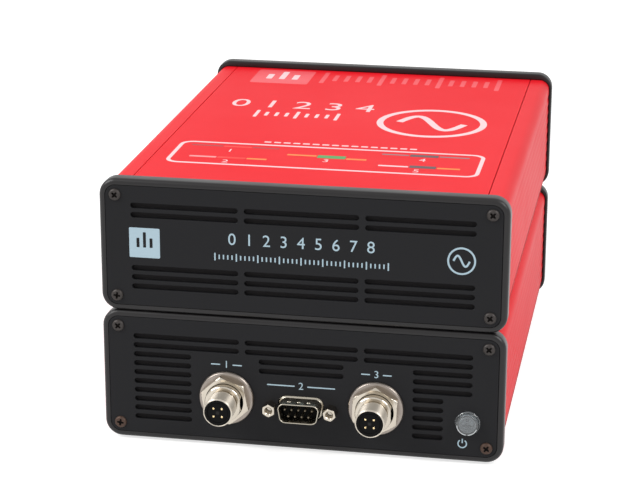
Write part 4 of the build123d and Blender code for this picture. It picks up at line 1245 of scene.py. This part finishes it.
@dataclass
class SenseConnector(Mounted):
    """The nine-pin D-shaped connector and its two jackscrews."""

    width: float = 16.9
    height: float = 8.4
    radius: float = 2.6
    flank: float = 10.0
    out: float = 6.8
    wall: float = 0.5
    flare: float = 0.85
    floor: float = 0.9
    flange: tuple[float, float, float] = (30.8, 12.5, 2.3)
    block_top: float = 6.2
    pin_pitch: float = 2.77
    row_pitch: float = 2.84
    pin_radius: float = 0.5
    pin_inset: float = 0.7
    tail: float = 0.6
    jack_across: float = 4.75
    jack_out: float = 5.3
    jack_shank: float = 1.65
    jack_hole: float = 1.42
    thread_pitch: float = 0.45

    @property
    def outline(self) -> Outline:
        """The shell's outline from its axis."""
        lean = (self.height - 2 * self.radius) * math.tan(math.radians(self.flank))
        return Outline(self.width, self.height, self.radius, lean=lean)

    def build_shell(self) -> None:
        """Builds the pressed shell, its flare, its flange and the dimples on top."""
        front, w, f = -self.out, self.wall, self.flare
        rows = [
            (-w, 2.8), (f - 0.1, 2.0), (f, 0.8), (f, 0.45), (f - 0.12, 0.3), (0.3, 0.15), (0.1, 0.0),
            (0.0, -0.3), (0.0, front + 0.3), (-0.08, front + 0.08), (-0.2, front), (-w + 0.1, front),
            (-w, front + 0.12),
        ]
        x, z = self.axis
        sections = [(self.outline.points(grow), self.face + y) for grow, y in rows]
        bm = bmesh.new()
        add_skin(bm, sections, self.axis, closed=True)
        middle = Outline(self.width, self.height, self.radius, x, z, self.outline.lean)
        holes = [middle, *[disc(1.7, x + side * JACK_X, z) for side in SIDES]]
        add_plate(bm, Outline(*self.flange, x, z), holes, self.face + 2.0, self.face + 2.8)
        for dx in (-4.1, -0.1, 3.9):
            dimple = bmesh.ops.create_uvsphere(bm, u_segments=24, v_segments=12, radius=1.0)["verts"]
            bmesh.ops.scale(bm, vec=(0.85, 0.6, 0.42), verts=dimple)
            bmesh.ops.translate(bm, vec=(x + dx, self.face - 4.1, z + self.height / 2), verts=dimple)
        publish("sense_shell_pressing", bm, TIN_STEEL, "sense_shell", sharp=40.0)

    def build_block(self) -> None:
        """Builds the moulded block inside the shell and behind the flange."""
        low, high = box_of("sense_block")
        floor, fit = self.face - self.floor, -self.wall - 0.03
        rows = [(-self.wall - 0.25, floor), (fit, floor + 0.2), (fit, self.face + 2.9)]
        bm = bmesh.new()
        add_skin(bm, [(self.outline.points(grow), y) for grow, y in rows], self.axis)
        x, top = self.axis[0], self.axis[1] + self.block_top
        body = Outline(high.x - low.x, top - low.z, 0.6, x, (top + low.z) / 2)
        add_plate(bm, body, [], self.face + 2.85, high.y, 0.3)
        publish("sense_block_moulding", bm, BLACK_NYLON, "sense_block")

    def build_pins(self) -> None:
        """Builds the nine pins, five above four, with domed tips and bent tails."""
        tip, r, half = self.pin_inset - self.out, self.pin_radius, self.tail / 2
        profile = [(0.0, tip), (r * 0.5, tip), (r, tip + 0.5), (r, SENSE_BACK), (0.0, SENSE_BACK)]
        profile = softened(profile, 0.2, closed=False)
        top = [((i - 2) * self.pin_pitch, self.row_pitch / 2) for i in range(5)]
        low = [((i - 1.5) * self.pin_pitch, -self.row_pitch / 2) for i in range(4)]
        board = box_of("main_board")[1].z
        back = self.face + SENSE_BACK
        bm = bmesh.new()
        for dx, dz in top + low:
            self.turn(bm, profile, dx, dz, count=24)
            x, z = self.axis[0] + dx, self.axis[1] + dz
            reach = back + (2.4 if dz > 0 else 1.2)
            add_plate(bm, bar(self.tail, self.tail, 0.1, x, z), [], back, reach + half)
            drop = bar(self.tail, z + half - board, 0.1, x, (z + half + board) / 2)
            add_plate(bm, drop, [], reach - half, reach + half)
        publish("sense_pin_set", bm, PALE_PIN, "sense_pins")

    def build_jackscrews(self) -> None:
        """Builds the hexagonal jackscrews with their threaded holes."""
        front, seat, r = self.face - self.jack_out, self.face - 0.02, self.jack_hole
        hole = [(r * 0.2, 4.6), (r, 4.2)]
        # Eight turns of the thread show in the hole's wall
        for i in range(8):
            hole += [(r, 3.9 - i * self.thread_pitch), (r - 0.14, 3.68 - i * self.thread_pitch)]
        hole += [(r, 0.3), (r + 0.25, 0.0)]
        bm = bmesh.new()
        for side, turn in ((-1, 0.0), (1, 14.0)):
            outside = hexagon(self.jack_across, turn, 72)
            shank = rounded(outside, self.jack_shank)
            sections = [
                *[(rounded(outside, radius), front + y) for radius, y in hole],
                *turned_corners(outside, self.jack_across / 2 * 1.06, 0.35, front, 4),
                (outside, seat), (shank, seat), (shank, self.face + SENSE_BACK),
            ]
            add_skin(bm, sections, (self.axis[0] + side * JACK_X, self.axis[1]))
        publish("sense_jackscrew_pair", bm, NICKEL, "sense_jackscrews", sharp=25.0)

    def build(self) -> None:
        """Builds the whole connector."""
        self.seat("sense_shell")
        self.build_shell()
        self.build_block()
        self.build_pins()
        self.build_jackscrews()


@dataclass
class PowerButton(Mounted):
    """The clear power button, its ring and the diffuser that shows through it."""

    cap_radius: float = 4.45
    cap_out: float = 2.6
    bore: float = 4.6
    ring_radius: float = 5.1
    collar: float = 4.6
    collar_radius: float = 5.6
    collar_height: float = 0.8
    hollow: float = 3.5
    stem: float = 1.5
    stem_length: float = 5.75

    def build_ring(self) -> None:
        """Builds the ring round the cap."""
        r = self.ring_radius
        profile = [
            (self.bore, 4.5), (4.9, 4.5), (4.9, 0.0), (r, 0.0), (r - 0.05, -0.2), (r - 0.35, -0.55),
            (self.bore, -0.6),
        ]
        bm = self.turn(bmesh.new(), softened(profile, 0.15), closed=True)
        publish("power_ring_bush", bm, CLEAR_LENS, "power_ring")

    def build_lens(self) -> None:
        """Builds the clear cap."""
        r, top, collar = self.cap_radius, -self.cap_out, self.collar
        end = collar + self.collar_height
        profile = [
            (0.0, top), (r - 0.3, top), (r - 0.08, top + 0.1), (r, top + 0.35), (r, collar),
            (self.collar_radius, collar), (self.collar_radius, end), (self.hollow, end),
            (self.hollow, top + 1.3), (0.0, top + 1.1),
        ]
        bm = self.turn(bmesh.new(), softened(profile, 0.2, closed=False))
        publish("power_button_lens", bm, CLEAR_LENS, "power_button", body=BUTTON_BODY)

    def build_rim(self) -> None:
        """Builds the lens's raised rim round its lower half, with the notch that its mould's gate left, in
        a painted highlight.
        """
        (x, z), top = self.axis, -self.cap_out
        section = [(3.92, 0.3), (3.94, -0.05), (4.06, -0.08), (4.18, -0.04), (4.2, 0.3)]
        bm = bmesh.new()
        # Only the lower half carries the rim and its painted highlight, broken by the gate's notch
        for start, sweep in ((183.0, 80.0), (277.0, 62.0)):
            rings = []
            for i in range(25):
                angle = math.radians(start + sweep * i / 24)
                c, s = math.cos(angle), math.sin(angle)
                spots = [(x + a * c, self.face + top + y, z + a * s) for a, y in section]
                rings.append([bm.verts.new(spot) for spot in spots])
            add_loft(bm, rings)
        publish("power_button_rim", bm, RIM_GLINT, body=BUTTON_BODY)

    def build_diffuser(self) -> None:
        """Builds the stepped diffuser behind the lens, and its lamp and shade."""
        top, end = -self.cap_out, self.collar + self.collar_height
        stem_end = self.collar + self.stem_length
        profile = [
            (0.0, top + 2.0), (1.0, top + 2.0), (1.2, top + 1.5), (1.9, top + 1.45), (2.1, top + 1.7),
            (2.7, top + 1.7), (2.9, top + 1.4), (3.4, top + 1.4), (3.4, end), (self.stem, end),
            (self.stem, stem_end), (0.0, stem_end),
        ]
        bm = self.turn(bmesh.new(), softened(profile, 0.1, closed=False))
        publish("power_button_diffuser", bm, DIFFUSER, body=BUTTON_BODY)
        lamp = [(0.0, top + 1.25), (0.7, top + 1.3), (0.8, top + 1.9)]
        bm = self.turn(bmesh.new(), lamp, z=1.9, count=24)
        shade = Outline(4.6, 0.8, 0.3, self.axis[0], self.axis[1] - 0.6, steps=3)
        add_plate(bm, shade, [], self.face + top + 1.4, self.face + top + 1.9, 0.1)
        publish("power_button_lamp", bm, BLACK_NYLON, body=BUTTON_BODY)

    def build(self) -> None:
        """Builds the ring, the cap and what shows inside it."""
        self.seat("power_ring")
        self.build_ring()
        self.build_lens()
        self.build_rim()
        self.build_diffuser()


@dataclass
class DustScreen:
    """A thin dark sheet behind a front panel's slots: painted shade that stands in for the shade inside the
    case.
    """

    deck: Deck
    margin: float = 2.2
    gap: float = 0.05
    thickness: float = 0.3
    corner: float = 2.4
    screw_hole: float = 1.4
    cell_hole: float = 9.8
    sense_hole: tuple[float, float, float] = (31.4, 13.1, 2.5)
    power_hole: float = 5.2

    def build(self) -> None:
        """Builds the painted-shade sheet, cut out round what comes through the panel."""
        low, high = box_of(f"{self.deck.value}_front_panel")
        x, z = (low.x + high.x) / 2, (low.z + high.z) / 2
        cut = 2 * self.margin
        sheet = Outline(high.x - low.x - cut, high.z - low.z - cut, self.corner, x, z)
        holes = [disc(self.screw_hole, x + sx * SCREW_X, z + sz * SCREW_Z) for sx, sz in CORNERS]
        if self.deck is Deck.LOWER:
            holes += [disc(self.cell_hole, x + side * CELL_X, z + CELL_Z) for side in SIDES]
            holes.append(Outline(*self.sense_hole, x, z + SENSE_Z))
            holes.append(disc(self.power_hole, x + POWER_X, z + POWER_Z))
        front = high.y + self.gap
        bm = bmesh.new()
        add_plate(bm, sheet, holes, front, front + self.thickness)
        publish(f"{self.deck.value}_shade_sheet", bm, PAINTED_SLOT_SHADE)


# Print


class Facing(Enum):
    """The way a printed field faces, as the turn from a field that faces front."""

    FRONT = 0.0
    UP = -90.0


@dataclass
class PrintField:
    """A printed field: thin shapes of ink on one plane."""

    name: str
    origin: Vector
    facing: Facing
    thickness: float = 0.03
    # A digit's height as a share of the font's size
    digit_share: float = 0.73

    def shapes(
        self, name: str, outlines: Iterable[Outline], shade: Finish, holes: Sequence[Outline] = ()
    ) -> None:
        """Prints filled shapes.

        Args:
            name: Name of the piece after the field's.
            outlines: The shapes' outlines.
            shade: Ink of the print.
            holes: What is left bare in each shape.
        """
        bm = bmesh.new()
        for outline in outlines:
            add_plate(bm, outline, holes, -self.thickness, 0.0)
        self.lay(name, bm, shade)

    def line(
        self, name: str, path: Sequence[Point], width: float, shade: Finish, closed: bool = False
    ) -> None:
        """Prints a line of even width.

        Args:
            name: Name of the piece after the field's.
            path: Points of the line.
            width: Width of the line.
            shade: Ink of the print.
            closed: Whether the line joins up.
        """
        bm = bmesh.new()
        points = [Vector(p) for p in path]
        rings = []
        for i, point in enumerate(points):
            before = points[i - 1] if i or closed else point
            after = points[(i + 1) % len(points)] if i < len(points) - 1 or closed else point
            along = (after - before).normalized()
            across = Vector((-along.y, along.x)) * width / 2
            left, right = point + across, point - across
            corners = ((left, 0.0), (left, -self.thickness), (right, -self.thickness), (right, 0.0))
            rings.append([bm.verts.new((p.x, y, p.y)) for p, y in corners])
        add_loft(bm, rings, closed)
        self.lay(name, bm, shade)

    def wave_sign(self, place: Point, radius: float, wave: Point, widths: Point, shade: Finish) -> None:
        """Prints one turn of a wave inside a ring.

        Args:
            place: Middle of the ring.
            radius: Radius of the ring.
            wave: Length and height of the wave.
            widths: Widths of the ring's line and of the wave's.
            shade: Ink of the print.
        """
        self.line("wave_sign_rim", circle_path(radius, *place), widths[0], shade, closed=True)
        self.line("wave_sign", wave_path(*wave, *place), widths[1], shade)

    def numbers(
        self, name: str, marks: Iterable[tuple[str, float, float]], size: float, shade: Finish
    ) -> None:
        """Prints plain numbers.

        Args:
            name: Name of the piece after the field's.
            marks: Text, X and height of the middle of each number.
            size: Height of the digits.
            shade: Ink of the print.
        """
        bm = bmesh.new()
        upright = Matrix.Rotation(math.pi / 2, 4, "X")
        for text, x, z in marks:
            curve = bpy.data.curves.new("digits", "FONT")
            curve.body = text
            curve.size = size / self.digit_share
            curve.extrude = self.thickness / 2
            curve.align_x, curve.align_y = "CENTER", "CENTER"
            holder = bpy.data.objects.new("digits", curve)
            bpy.context.scene.collection.objects.link(holder)
            bpy.context.view_layer.update()
            mesh = bpy.data.meshes.new_from_object(holder)
            mesh.transform(Matrix.Translation((x, -self.thickness / 2, z)) @ upright)
            bm.from_mesh(mesh)
            bpy.data.objects.remove(holder)
            bpy.data.curves.remove(curve)
            bpy.data.meshes.remove(mesh)
        self.lay(name, bm, shade)

    def lay(self, name: str, bm: BMesh, shade: Finish) -> None:
        """Lays the ink on its plane.

        Args:
            name: Name of the piece after the field's.
            bm: The print as if it faced front.
            shade: Its ink.
        """
        tilt = Matrix.Rotation(math.radians(self.facing.value), 4, "X")
        bm.transform(Matrix.Translation(self.origin) @ tilt)
        publish(f"{self.name}_{name}", bm, shade)


def circle_path(radius: float, x: float, z: float, start: float = 0.0, sweep: float = 360.0) -> list[Point]:
    """Walks along a circle.

    Args:
        radius: Its radius.
        x: Centre along X.
        z: Centre along Z.
        start: First angle in degrees.
        sweep: Angle that it covers in degrees.

    Returns:
        The points, without the last one where the circle is whole.
    """
    count = 48
    last = count if sweep < 360 else count - 1
    angles = [math.radians(start + sweep * i / count) for i in range(last + 1)]
    return [(x + radius * math.cos(a), z + radius * math.sin(a)) for a in angles]


def wave_path(width: float, height: float, x: float, z: float) -> list[Point]:
    """Walks along one turn of a sine wave.

    Args:
        width: Its length.
        height: Its height from trough to crest.
        x: Centre along X.
        z: Centre along Z.

    Returns:
        The points.
    """
    shares = [i / 32 for i in range(33)]
    return [(x + width * (t - 0.5), z + height / 2 * math.sin(2 * math.pi * t)) for t in shares]


def upright_bars(x: float, z: float, size: float) -> list[Outline]:
    """Makes three upright bars, the middle one taller, as a plain mark.

    Args:
        x: Centre along X.
        z: Centre along Z.
        size: Size of the mark.

    Returns:
        Their outlines.
    """
    w, foot = size * 0.14, z - size * 0.22
    heights = (0.62, 1.0, 0.62)
    return [
        bar(w, size * 0.72 * h, w * 0.2, x + (i - 1) * size * 0.3, foot + size * 0.36 * h)
        for i, h in enumerate(heights)
    ]


def digits(first: float, pitch: float, count: int, z: float) -> list[tuple[str, float, float]]:
    """Returns the numbers from zero in an even row, with the place of each."""
    return [(str(i), first + pitch * i, z) for i in range(count)]


@dataclass(frozen=True)
class Scale:
    """An even row of upright bars, of which some are tall.

    Attributes:
        first: X of the first bar, which is tall.
        pitch: Distance from bar to bar.
        count: Number of bars.
        z: Height of their middles.
        width: Width of each bar.
        tall: Height of a tall bar.
        short: Height of the others.
        every: Number of bars from one tall bar to the next.
        radius: Corner radius.
    """

    first: float
    pitch: float
    count: int
    z: float
    width: float
    tall: float
    short: float
    every: int
    radius: float

    def bars(self) -> list[Outline]:
        """Makes the bars.

        Returns:
            Their outlines.
        """
        heights = [self.short if i % self.every else self.tall for i in range(self.count)]
        return [
            bar(self.width, height, self.radius, self.first + self.pitch * i, self.z)
            for i, height in enumerate(heights)
        ]


@dataclass
class FrontPrint:
    """The pale print on the two front panels: plain numbers, a scale and signs."""

    mark: Point = (-63.9, 1.6)
    mark_size: tuple[float, float, float] = (12.6, 12.5, 0.5)
    scale: Scale = Scale(
        first=-35.0, pitch=1.75, count=41, z=-2.4, width=0.55, tall=3.2, short=1.9, every=5, radius=0.1
    )
    scale_digit: float = 5.0
    sign: Point = (63.9, 1.8)
    power_sign: Point = (66.0, -19.85)
    port_size: float = 3.2
    port_z: float = 7.15
    middle_port_z: float = -0.15
    rule_gap: float = 2.6
    stroke: float = 0.5

    def sheet(self, deck: Deck) -> PrintField:
        """Makes the field on a deck's front panel.

        Args:
            deck: The deck.

        Returns:
            The empty field.
        """
        node = f"{deck.value}_front_panel"
        middle = centre_of(node)
        origin = Vector((middle.x, face_of(node), middle.z))
        return PrintField(f"{deck.value}_front_print", origin, Facing.FRONT)

    def upper(self) -> None:
        """Prints the upper panel: a square mark, a scale from 0 to 8 and a wave in a ring."""
        sheet = self.sheet(Deck.UPPER)
        square = Outline(*self.mark_size, *self.mark)
        sheet.shapes("mark", [square], PALE_INK, upright_bars(*self.mark, 9.0))
        sheet.numbers("scale_numbers", digits(-28.0, 7.0, 9, 5.0), self.scale_digit, PALE_INK)
        sheet.shapes("scale_ticks", self.scale.bars(), PALE_INK)
        sheet.wave_sign(self.sign, 5.3, (6.4, 4.4), (0.75, 0.8), PALE_INK)

    def lower(self) -> None:
        """Prints the lower panel: a number between two rules over each port, and the power sign."""
        sheet = self.sheet(Deck.LOWER)
        ports = (
            ("1", -CELL_X, self.port_z, 6.4),
            ("2", 0.0, self.middle_port_z, 14.0),
            ("3", CELL_X, self.port_z, 6.2),
        )
        sheet.numbers("port_numbers", [(text, x, z) for text, x, z, _ in ports], self.port_size, PALE_INK)
        gap = self.rule_gap
        rules = [
            bar(reach - gap, self.stroke, 0.1, x + side * (gap + reach) / 2, z)
            for _, x, z, reach in ports
            for side in SIDES
        ]
        sheet.shapes("port_rules", rules, PALE_INK)
        x, z = self.power_sign
        sheet.line("power_sign_ring", circle_path(1.7, x, z, 125, 290), self.stroke, PALE_INK)
        sheet.shapes("power_sign_bar", [bar(self.stroke, 1.9, 0.1, x, z + 1.2)], PALE_INK)


# The key on the cover: name, ink, and the left end, right end, place and thickness of each dash
COVER_KEY = (
    ("left_far", BROWN_INK, ((-60.0, -46.5, 67.0, 1.6), (-33.5, -22.0, 67.0, 1.6))),
    ("left_far_middle", SCARLET_INK, ((-46.0, -34.0, 67.0, 1.8),)),
    ("left_near", ROSE_INK, ((-57.0, -45.5, 49.5, 2.0),)),
    ("left_near_middle", SCARLET_INK, ((-45.0, -33.0, 49.5, 2.4),)),
    ("left_near_end", ORANGE_INK, ((-32.5, -24.0, 49.5, 2.0),)),
    ("centre", ORANGE_INK, ((-17.0, -4.5, 58.8, 2.0), (8.5, 17.0, 56.6, 2.0))),
    ("centre_middle", GREEN_INK, ((-4.0, 8.0, 58.2, 4.4),)),
    ("right_far", GREY_INK, ((22.0, 33.5, 67.0, 1.6), (46.5, 59.0, 67.0, 1.6))),
    ("right_far_middle", DARK_INK, ((34.0, 46.0, 67.0, 3.4),)),
    ("right_near", WHITE_INK, ((23.0, 35.5, 49.5, 1.8),)),
    ("right_near_middle", DARK_INK, ((36.0, 47.0, 50.0, 3.6),)),
    ("right_near_end", ORANGE_INK, ((47.5, 57.0, 49.5, 2.0),)),
)
# The key's numbers: text and the place of its middle
COVER_NUMBERS = (
    ("1", -42.0, 60.6), ("2", -40.5, 43.8), ("3", 0.5, 52.2), ("4", 40.0, 60.6), ("5", 39.5, 43.8),
)


@dataclass
class TopPrint:
    """The print on the upper cover: a coloured key in a frame, signs and scales."""

    key_y: float = 55.75
    key_size: tuple[float, float, float] = (131.0, 34.5, 5.5)
    key_line: float = 1.7
    key_corner: float = 4.0
    digit: float = 4.4
    scale: Scale = Scale(
        first=-44.0, pitch=4.6, count=9, z=125.0, width=1.6, tall=12.0, short=6.5, every=4, radius=0.4
    )
    scale_digit: float = 13.5
    sign: Point = (36.0, 122.0)
    square: Point = (-46.0, 197.0)
    square_size: tuple[float, float, float] = (28.0, 27.0, 1.5)
    rear_scale: Scale = Scale(
        first=-26.0, pitch=5.6, count=16, z=199.0, width=2.2, tall=22.0, short=12.0, every=5, radius=0.5
    )

    def build_key(self, sheet: PrintField) -> None:
        """Prints the framed key.

        Args:
            sheet: The cover's field.
        """
        width, height, _ = self.key_size
        cut = 2 * self.key_line
        rim = Outline(*self.key_size, 0.0, self.key_y)
        inside = Outline(width - cut, height - cut, self.key_corner, 0.0, self.key_y)
        sheet.shapes("key_frame", [rim], WHITE_INK, [inside])
        for name, shade, spans in COVER_KEY:
            dashes = [bar(b - a, thick, 0.3, (a + b) / 2, y) for a, b, y, thick in spans]
            sheet.shapes(f"key_{name}", dashes, shade)
        sheet.numbers("key_numbers", COVER_NUMBERS, self.digit, WHITE_INK)

    def build(self) -> None:
        """Prints the cover, with places measured from the front face."""
        origin = Vector((0.0, face_of("upper_front_panel"), box_of("upper_cover")[1].z))
        sheet = PrintField("cover_print", origin, Facing.UP)
        self.build_key(sheet)
        dashes = [bar(3.0, 1.7, 0.3, -29.0 + 4.2 * i, 77.0) for i in range(16)]
        sheet.shapes("dash_line", dashes, WHITE_INK)
        sheet.numbers("scale_numbers", digits(-55.0, 14.5, 5, 142.5), self.scale_digit, WHITE_INK)
        sheet.shapes("scale_ticks", self.scale.bars(), WHITE_INK)
        sheet.wave_sign(self.sign, 23.0, (29.0, 22.0), (3.0, 3.4), WHITE_INK)
        cut = upright_bars(*self.square, 21.0)
        sheet.shapes("rear_square", [Outline(*self.square_size, *self.square)], FADED_INK, cut)
        sheet.shapes("rear_square_bars", cut, WHITE_INK)
        sheet.shapes("rear_scale", self.rear_scale.bars(), FADED_INK)


# Rear, feet and inside


@dataclass
class RearScrews:
    """The cross-head screws of the fan and the supply inlet."""

    fan: CrossScrew = field(
        default_factory=lambda: CrossScrew(3.0, 1.6, 1.55, 10.0, arm=1.7, arm_width=0.9, recess=1.0)
    )
    inlet: CrossScrew = field(
        default_factory=lambda: CrossScrew(2.9, 0.0, 1.5, 8.0, arm=1.6, arm_width=0.8, sunk=True)
    )

    def build(self) -> None:
        """Builds both sets."""
        middle, face = centre_of("fan_frame"), face_of("upper_rear_panel", End.REAR)
        bm = bmesh.new()
        for i, (sx, sz) in enumerate(SCREW_CORNERS):
            place = Vector((middle.x + sx * FAN_SCREW, face, middle.z + sz * FAN_SCREW))
            self.fan.add(bm, place, End.REAR, 15.0 + 40 * i)
        publish("fan_screw_set", bm, BLACK_OXIDE, "fan_screws", inner=RECESS_SHADE)
        middle, face = centre_of("supply_inlet"), face_of("supply_inlet", End.REAR)
        bm = bmesh.new()
        for side in SIDES:
            place = Vector((middle.x + side * INLET_SCREW, face, middle.z))
            self.inlet.add(bm, place, End.REAR, 10.0 - 25 * side)
        publish("inlet_screw_pair", bm, BLACK_OXIDE, "inlet_screws", inner=RECESS_SHADE)


@dataclass
class Feet:
    """The round rubber feet under the lower housing."""

    radius: float = 6.5
    dish: float = 0.5

    def build(self) -> None:
        """Builds the feet with rounded rims and a shallow dish below."""
        low, high = box_of("rubber_feet")
        r, dish = self.radius, self.dish
        profile = [
            (0.0, dish), (r - 3.0, dish), (r - 2.4, 0.0), (r - 0.6, 0.0), (r - 0.1, 0.8),
            (r - 0.1, high.z), (0.0, high.z),
        ]
        bm = bmesh.new()
        for x in (low.x + r, high.x - r):
            for y in (low.y + r, high.y - r):
                part = bmesh.new()
                add_turned(part, softened(profile, 0.3, closed=False), count=48)
                merge(bm, part, Matrix.Translation((x, y, 0)) @ Matrix.Rotation(math.pi / 2, 4, "X"))
        publish("foot_set", bm, RUBBER, "rubber_feet")


def dress_nodes() -> None:
    """Gives each CAD node that still shows the finish of its material slot."""
    slots = {row["node"]: row["material_slot"] for row in frame["record"]["subparts"]}
    for name, node in frame["nodes"].items():
        if node.hide_render:
            continue
        node.data.materials.clear()
        node.data.materials.append(SLOT_FINISHES[slots[name]].material())
        LOG.info("%s: carried over from the CAD model", name)


# Studio


def seen(tree: Tree) -> Socket:
    """Adds what is one for rays of the camera, and of its mirror images and views through a lens.

    Args:
        tree: Node tree that takes the nodes.

    Returns:
        One or zero.
    """
    rays = add_node(tree, "ShaderNodeLightPath").outputs
    result = rays["Is Camera Ray"]
    for kind in ("Is Glossy Ray", "Is Transmission Ray"):
        pair = {0: result, 1: rays[kind]}
        result = add_node(tree, "ShaderNodeMath", pair, operation="MAXIMUM").outputs[0]
    return result


@dataclass
class Studio:
    """The camera, the lamps, the floor and the pale surroundings."""

    place: tuple[float, float, float] = (147.0, -882.1, 344.8)
    right: tuple[float, float, float] = (0.98400, 0.17811, 0.00324)
    down: tuple[float, float, float] = (0.05783, -0.30219, -0.95149)
    forward: tuple[float, float, float] = (-0.16850, 0.93646, -0.30765)
    focal_px: float = 2105.5
    image_width: int = 636
    sensor: float = 36.0
    floor_size: float = 6.0
    ambient: float = 0.53
    target: tuple[float, float, float] = (0.0, 0.0, 0.05)

    def link(self, name: str, data: bpy.types.ID) -> bpy.types.Object:
        """Puts a new object with this data in the scene.

        Args:
            name: Its name.
            data: Its data.

        Returns:
            The object.
        """
        made = bpy.data.objects.new(name, data)
        bpy.context.scene.collection.objects.link(made)
        return made

    def build_camera(self) -> None:
        """Puts the camera where the photograph was taken from."""
        data = bpy.data.cameras.new("camera")
        data.sensor_width = self.sensor
        data.lens = self.focal_px * self.sensor / self.image_width
        data.clip_start, data.clip_end = 0.01, 50.0
        right, up, back = Vector(self.right), -Vector(self.down), -Vector(self.forward)
        matrix = Matrix((right, up, back)).transposed().to_4x4()
        matrix.translation = Vector(self.place) * MM
        camera = self.link("camera", data)
        camera.matrix_world = matrix
        bpy.context.scene.camera = camera

    def build_lamp(self, name: str, place: tuple[float, float, float], size: float, power: float) -> None:
        """Adds a square soft lamp that looks at the object.

        Args:
            name: Its name.
            place: Its place in metres.
            size: Its side in metres.
            power: Its power in watts.
        """
        data = bpy.data.lights.new(name, "AREA")
        data.shape, data.size, data.energy = "SQUARE", size, power
        lamp = self.link(name, data)
        lamp.location = place
        lamp.rotation_mode = "QUATERNION"
        lamp.rotation_quaternion = (Vector(self.target) - Vector(place)).to_track_quat("-Z", "Y")

    def build_floor(self) -> None:
        """Lays a pale floor that takes a shadow and looks nearly white."""
        bm = bmesh.new()
        bmesh.ops.create_grid(bm, x_segments=1, y_segments=1, size=self.floor_size / 2)
        mesh = bpy.data.meshes.new("floor")
        bm.to_mesh(mesh)
        bm.free()
        paint = bpy.data.materials.new("white_sweep")
        paint.use_nodes = True
        tree = paint.node_tree
        tree.nodes.clear()
        shade = add_node(tree, "ShaderNodeBsdfDiffuse", {"Color": linear("#C8C8C8")}).outputs[0]
        glow = add_node(tree, "ShaderNodeEmission", {"Color": linear("#FFFFFF"), "Strength": 0.7})
        both = add_node(tree, "ShaderNodeAddShader", {0: shade, 1: glow.outputs[0]}).outputs[0]
        mix = add_node(tree, "ShaderNodeMixShader", {0: seen(tree), 1: shade, 2: both})
        add_node(tree, "ShaderNodeOutputMaterial", {"Surface": mix.outputs[0]})
        mesh.materials.append(paint)
        self.link("floor", mesh)

    def build_world(self) -> None:
        """Surrounds the scene with soft light that looks white."""
        world = bpy.data.worlds.new("surroundings")
        bpy.context.scene.world = world
        world.use_nodes = True
        tree = world.node_tree
        tree.nodes.clear()
        # Plated pieces and the lens show the same white surroundings as the camera does
        levels = {"Value": seen(tree), "To Min": self.ambient, "To Max": 1.0}
        strength = add_node(tree, "ShaderNodeMapRange", levels).outputs[0]
        light = {"Color": (1.0, 1.0, 1.0, 1.0), "Strength": strength}
        glow = add_node(tree, "ShaderNodeBackground", light)
        add_node(tree, "ShaderNodeOutputWorld", {"Surface": glow.outputs[0]})

    def build(self) -> None:
        """Builds the whole studio."""
        self.build_camera()
        self.build_floor()
        self.build_world()
        self.build_lamp("left", (-1.2, -0.6, 1.1), 0.9, 19.0)
        self.build_lamp("right", (1.3, -0.5, 1.2), 0.8, 14.0)
        bpy.context.scene.view_settings.view_transform = "Standard"


def main() -> None:
    """Builds the sub-assemblies in order."""
    logging.basicConfig(level=logging.INFO, format="%(name)s: %(message)s")
    Studio().build()
    for deck in Deck:
        Housing(deck).build()
        PanelScrews(deck).build()
        for end in End:
            Bezel(deck, end).build()
            Panel(deck, end).build()
    CellConnector("working", 11.0).build()
    CellConnector("counter", -2.0).build()
    SenseConnector().build()
    PowerButton().build()
    # Dark sheets behind the front slots paint the shade inside the case
    for deck in Deck:
        DustScreen(deck).build()
    FrontPrint().upper()
    FrontPrint().lower()
    TopPrint().build()
    RearScrews().build()
    Feet().build()
    dress_nodes()


if __name__ == "__main__":
    main()
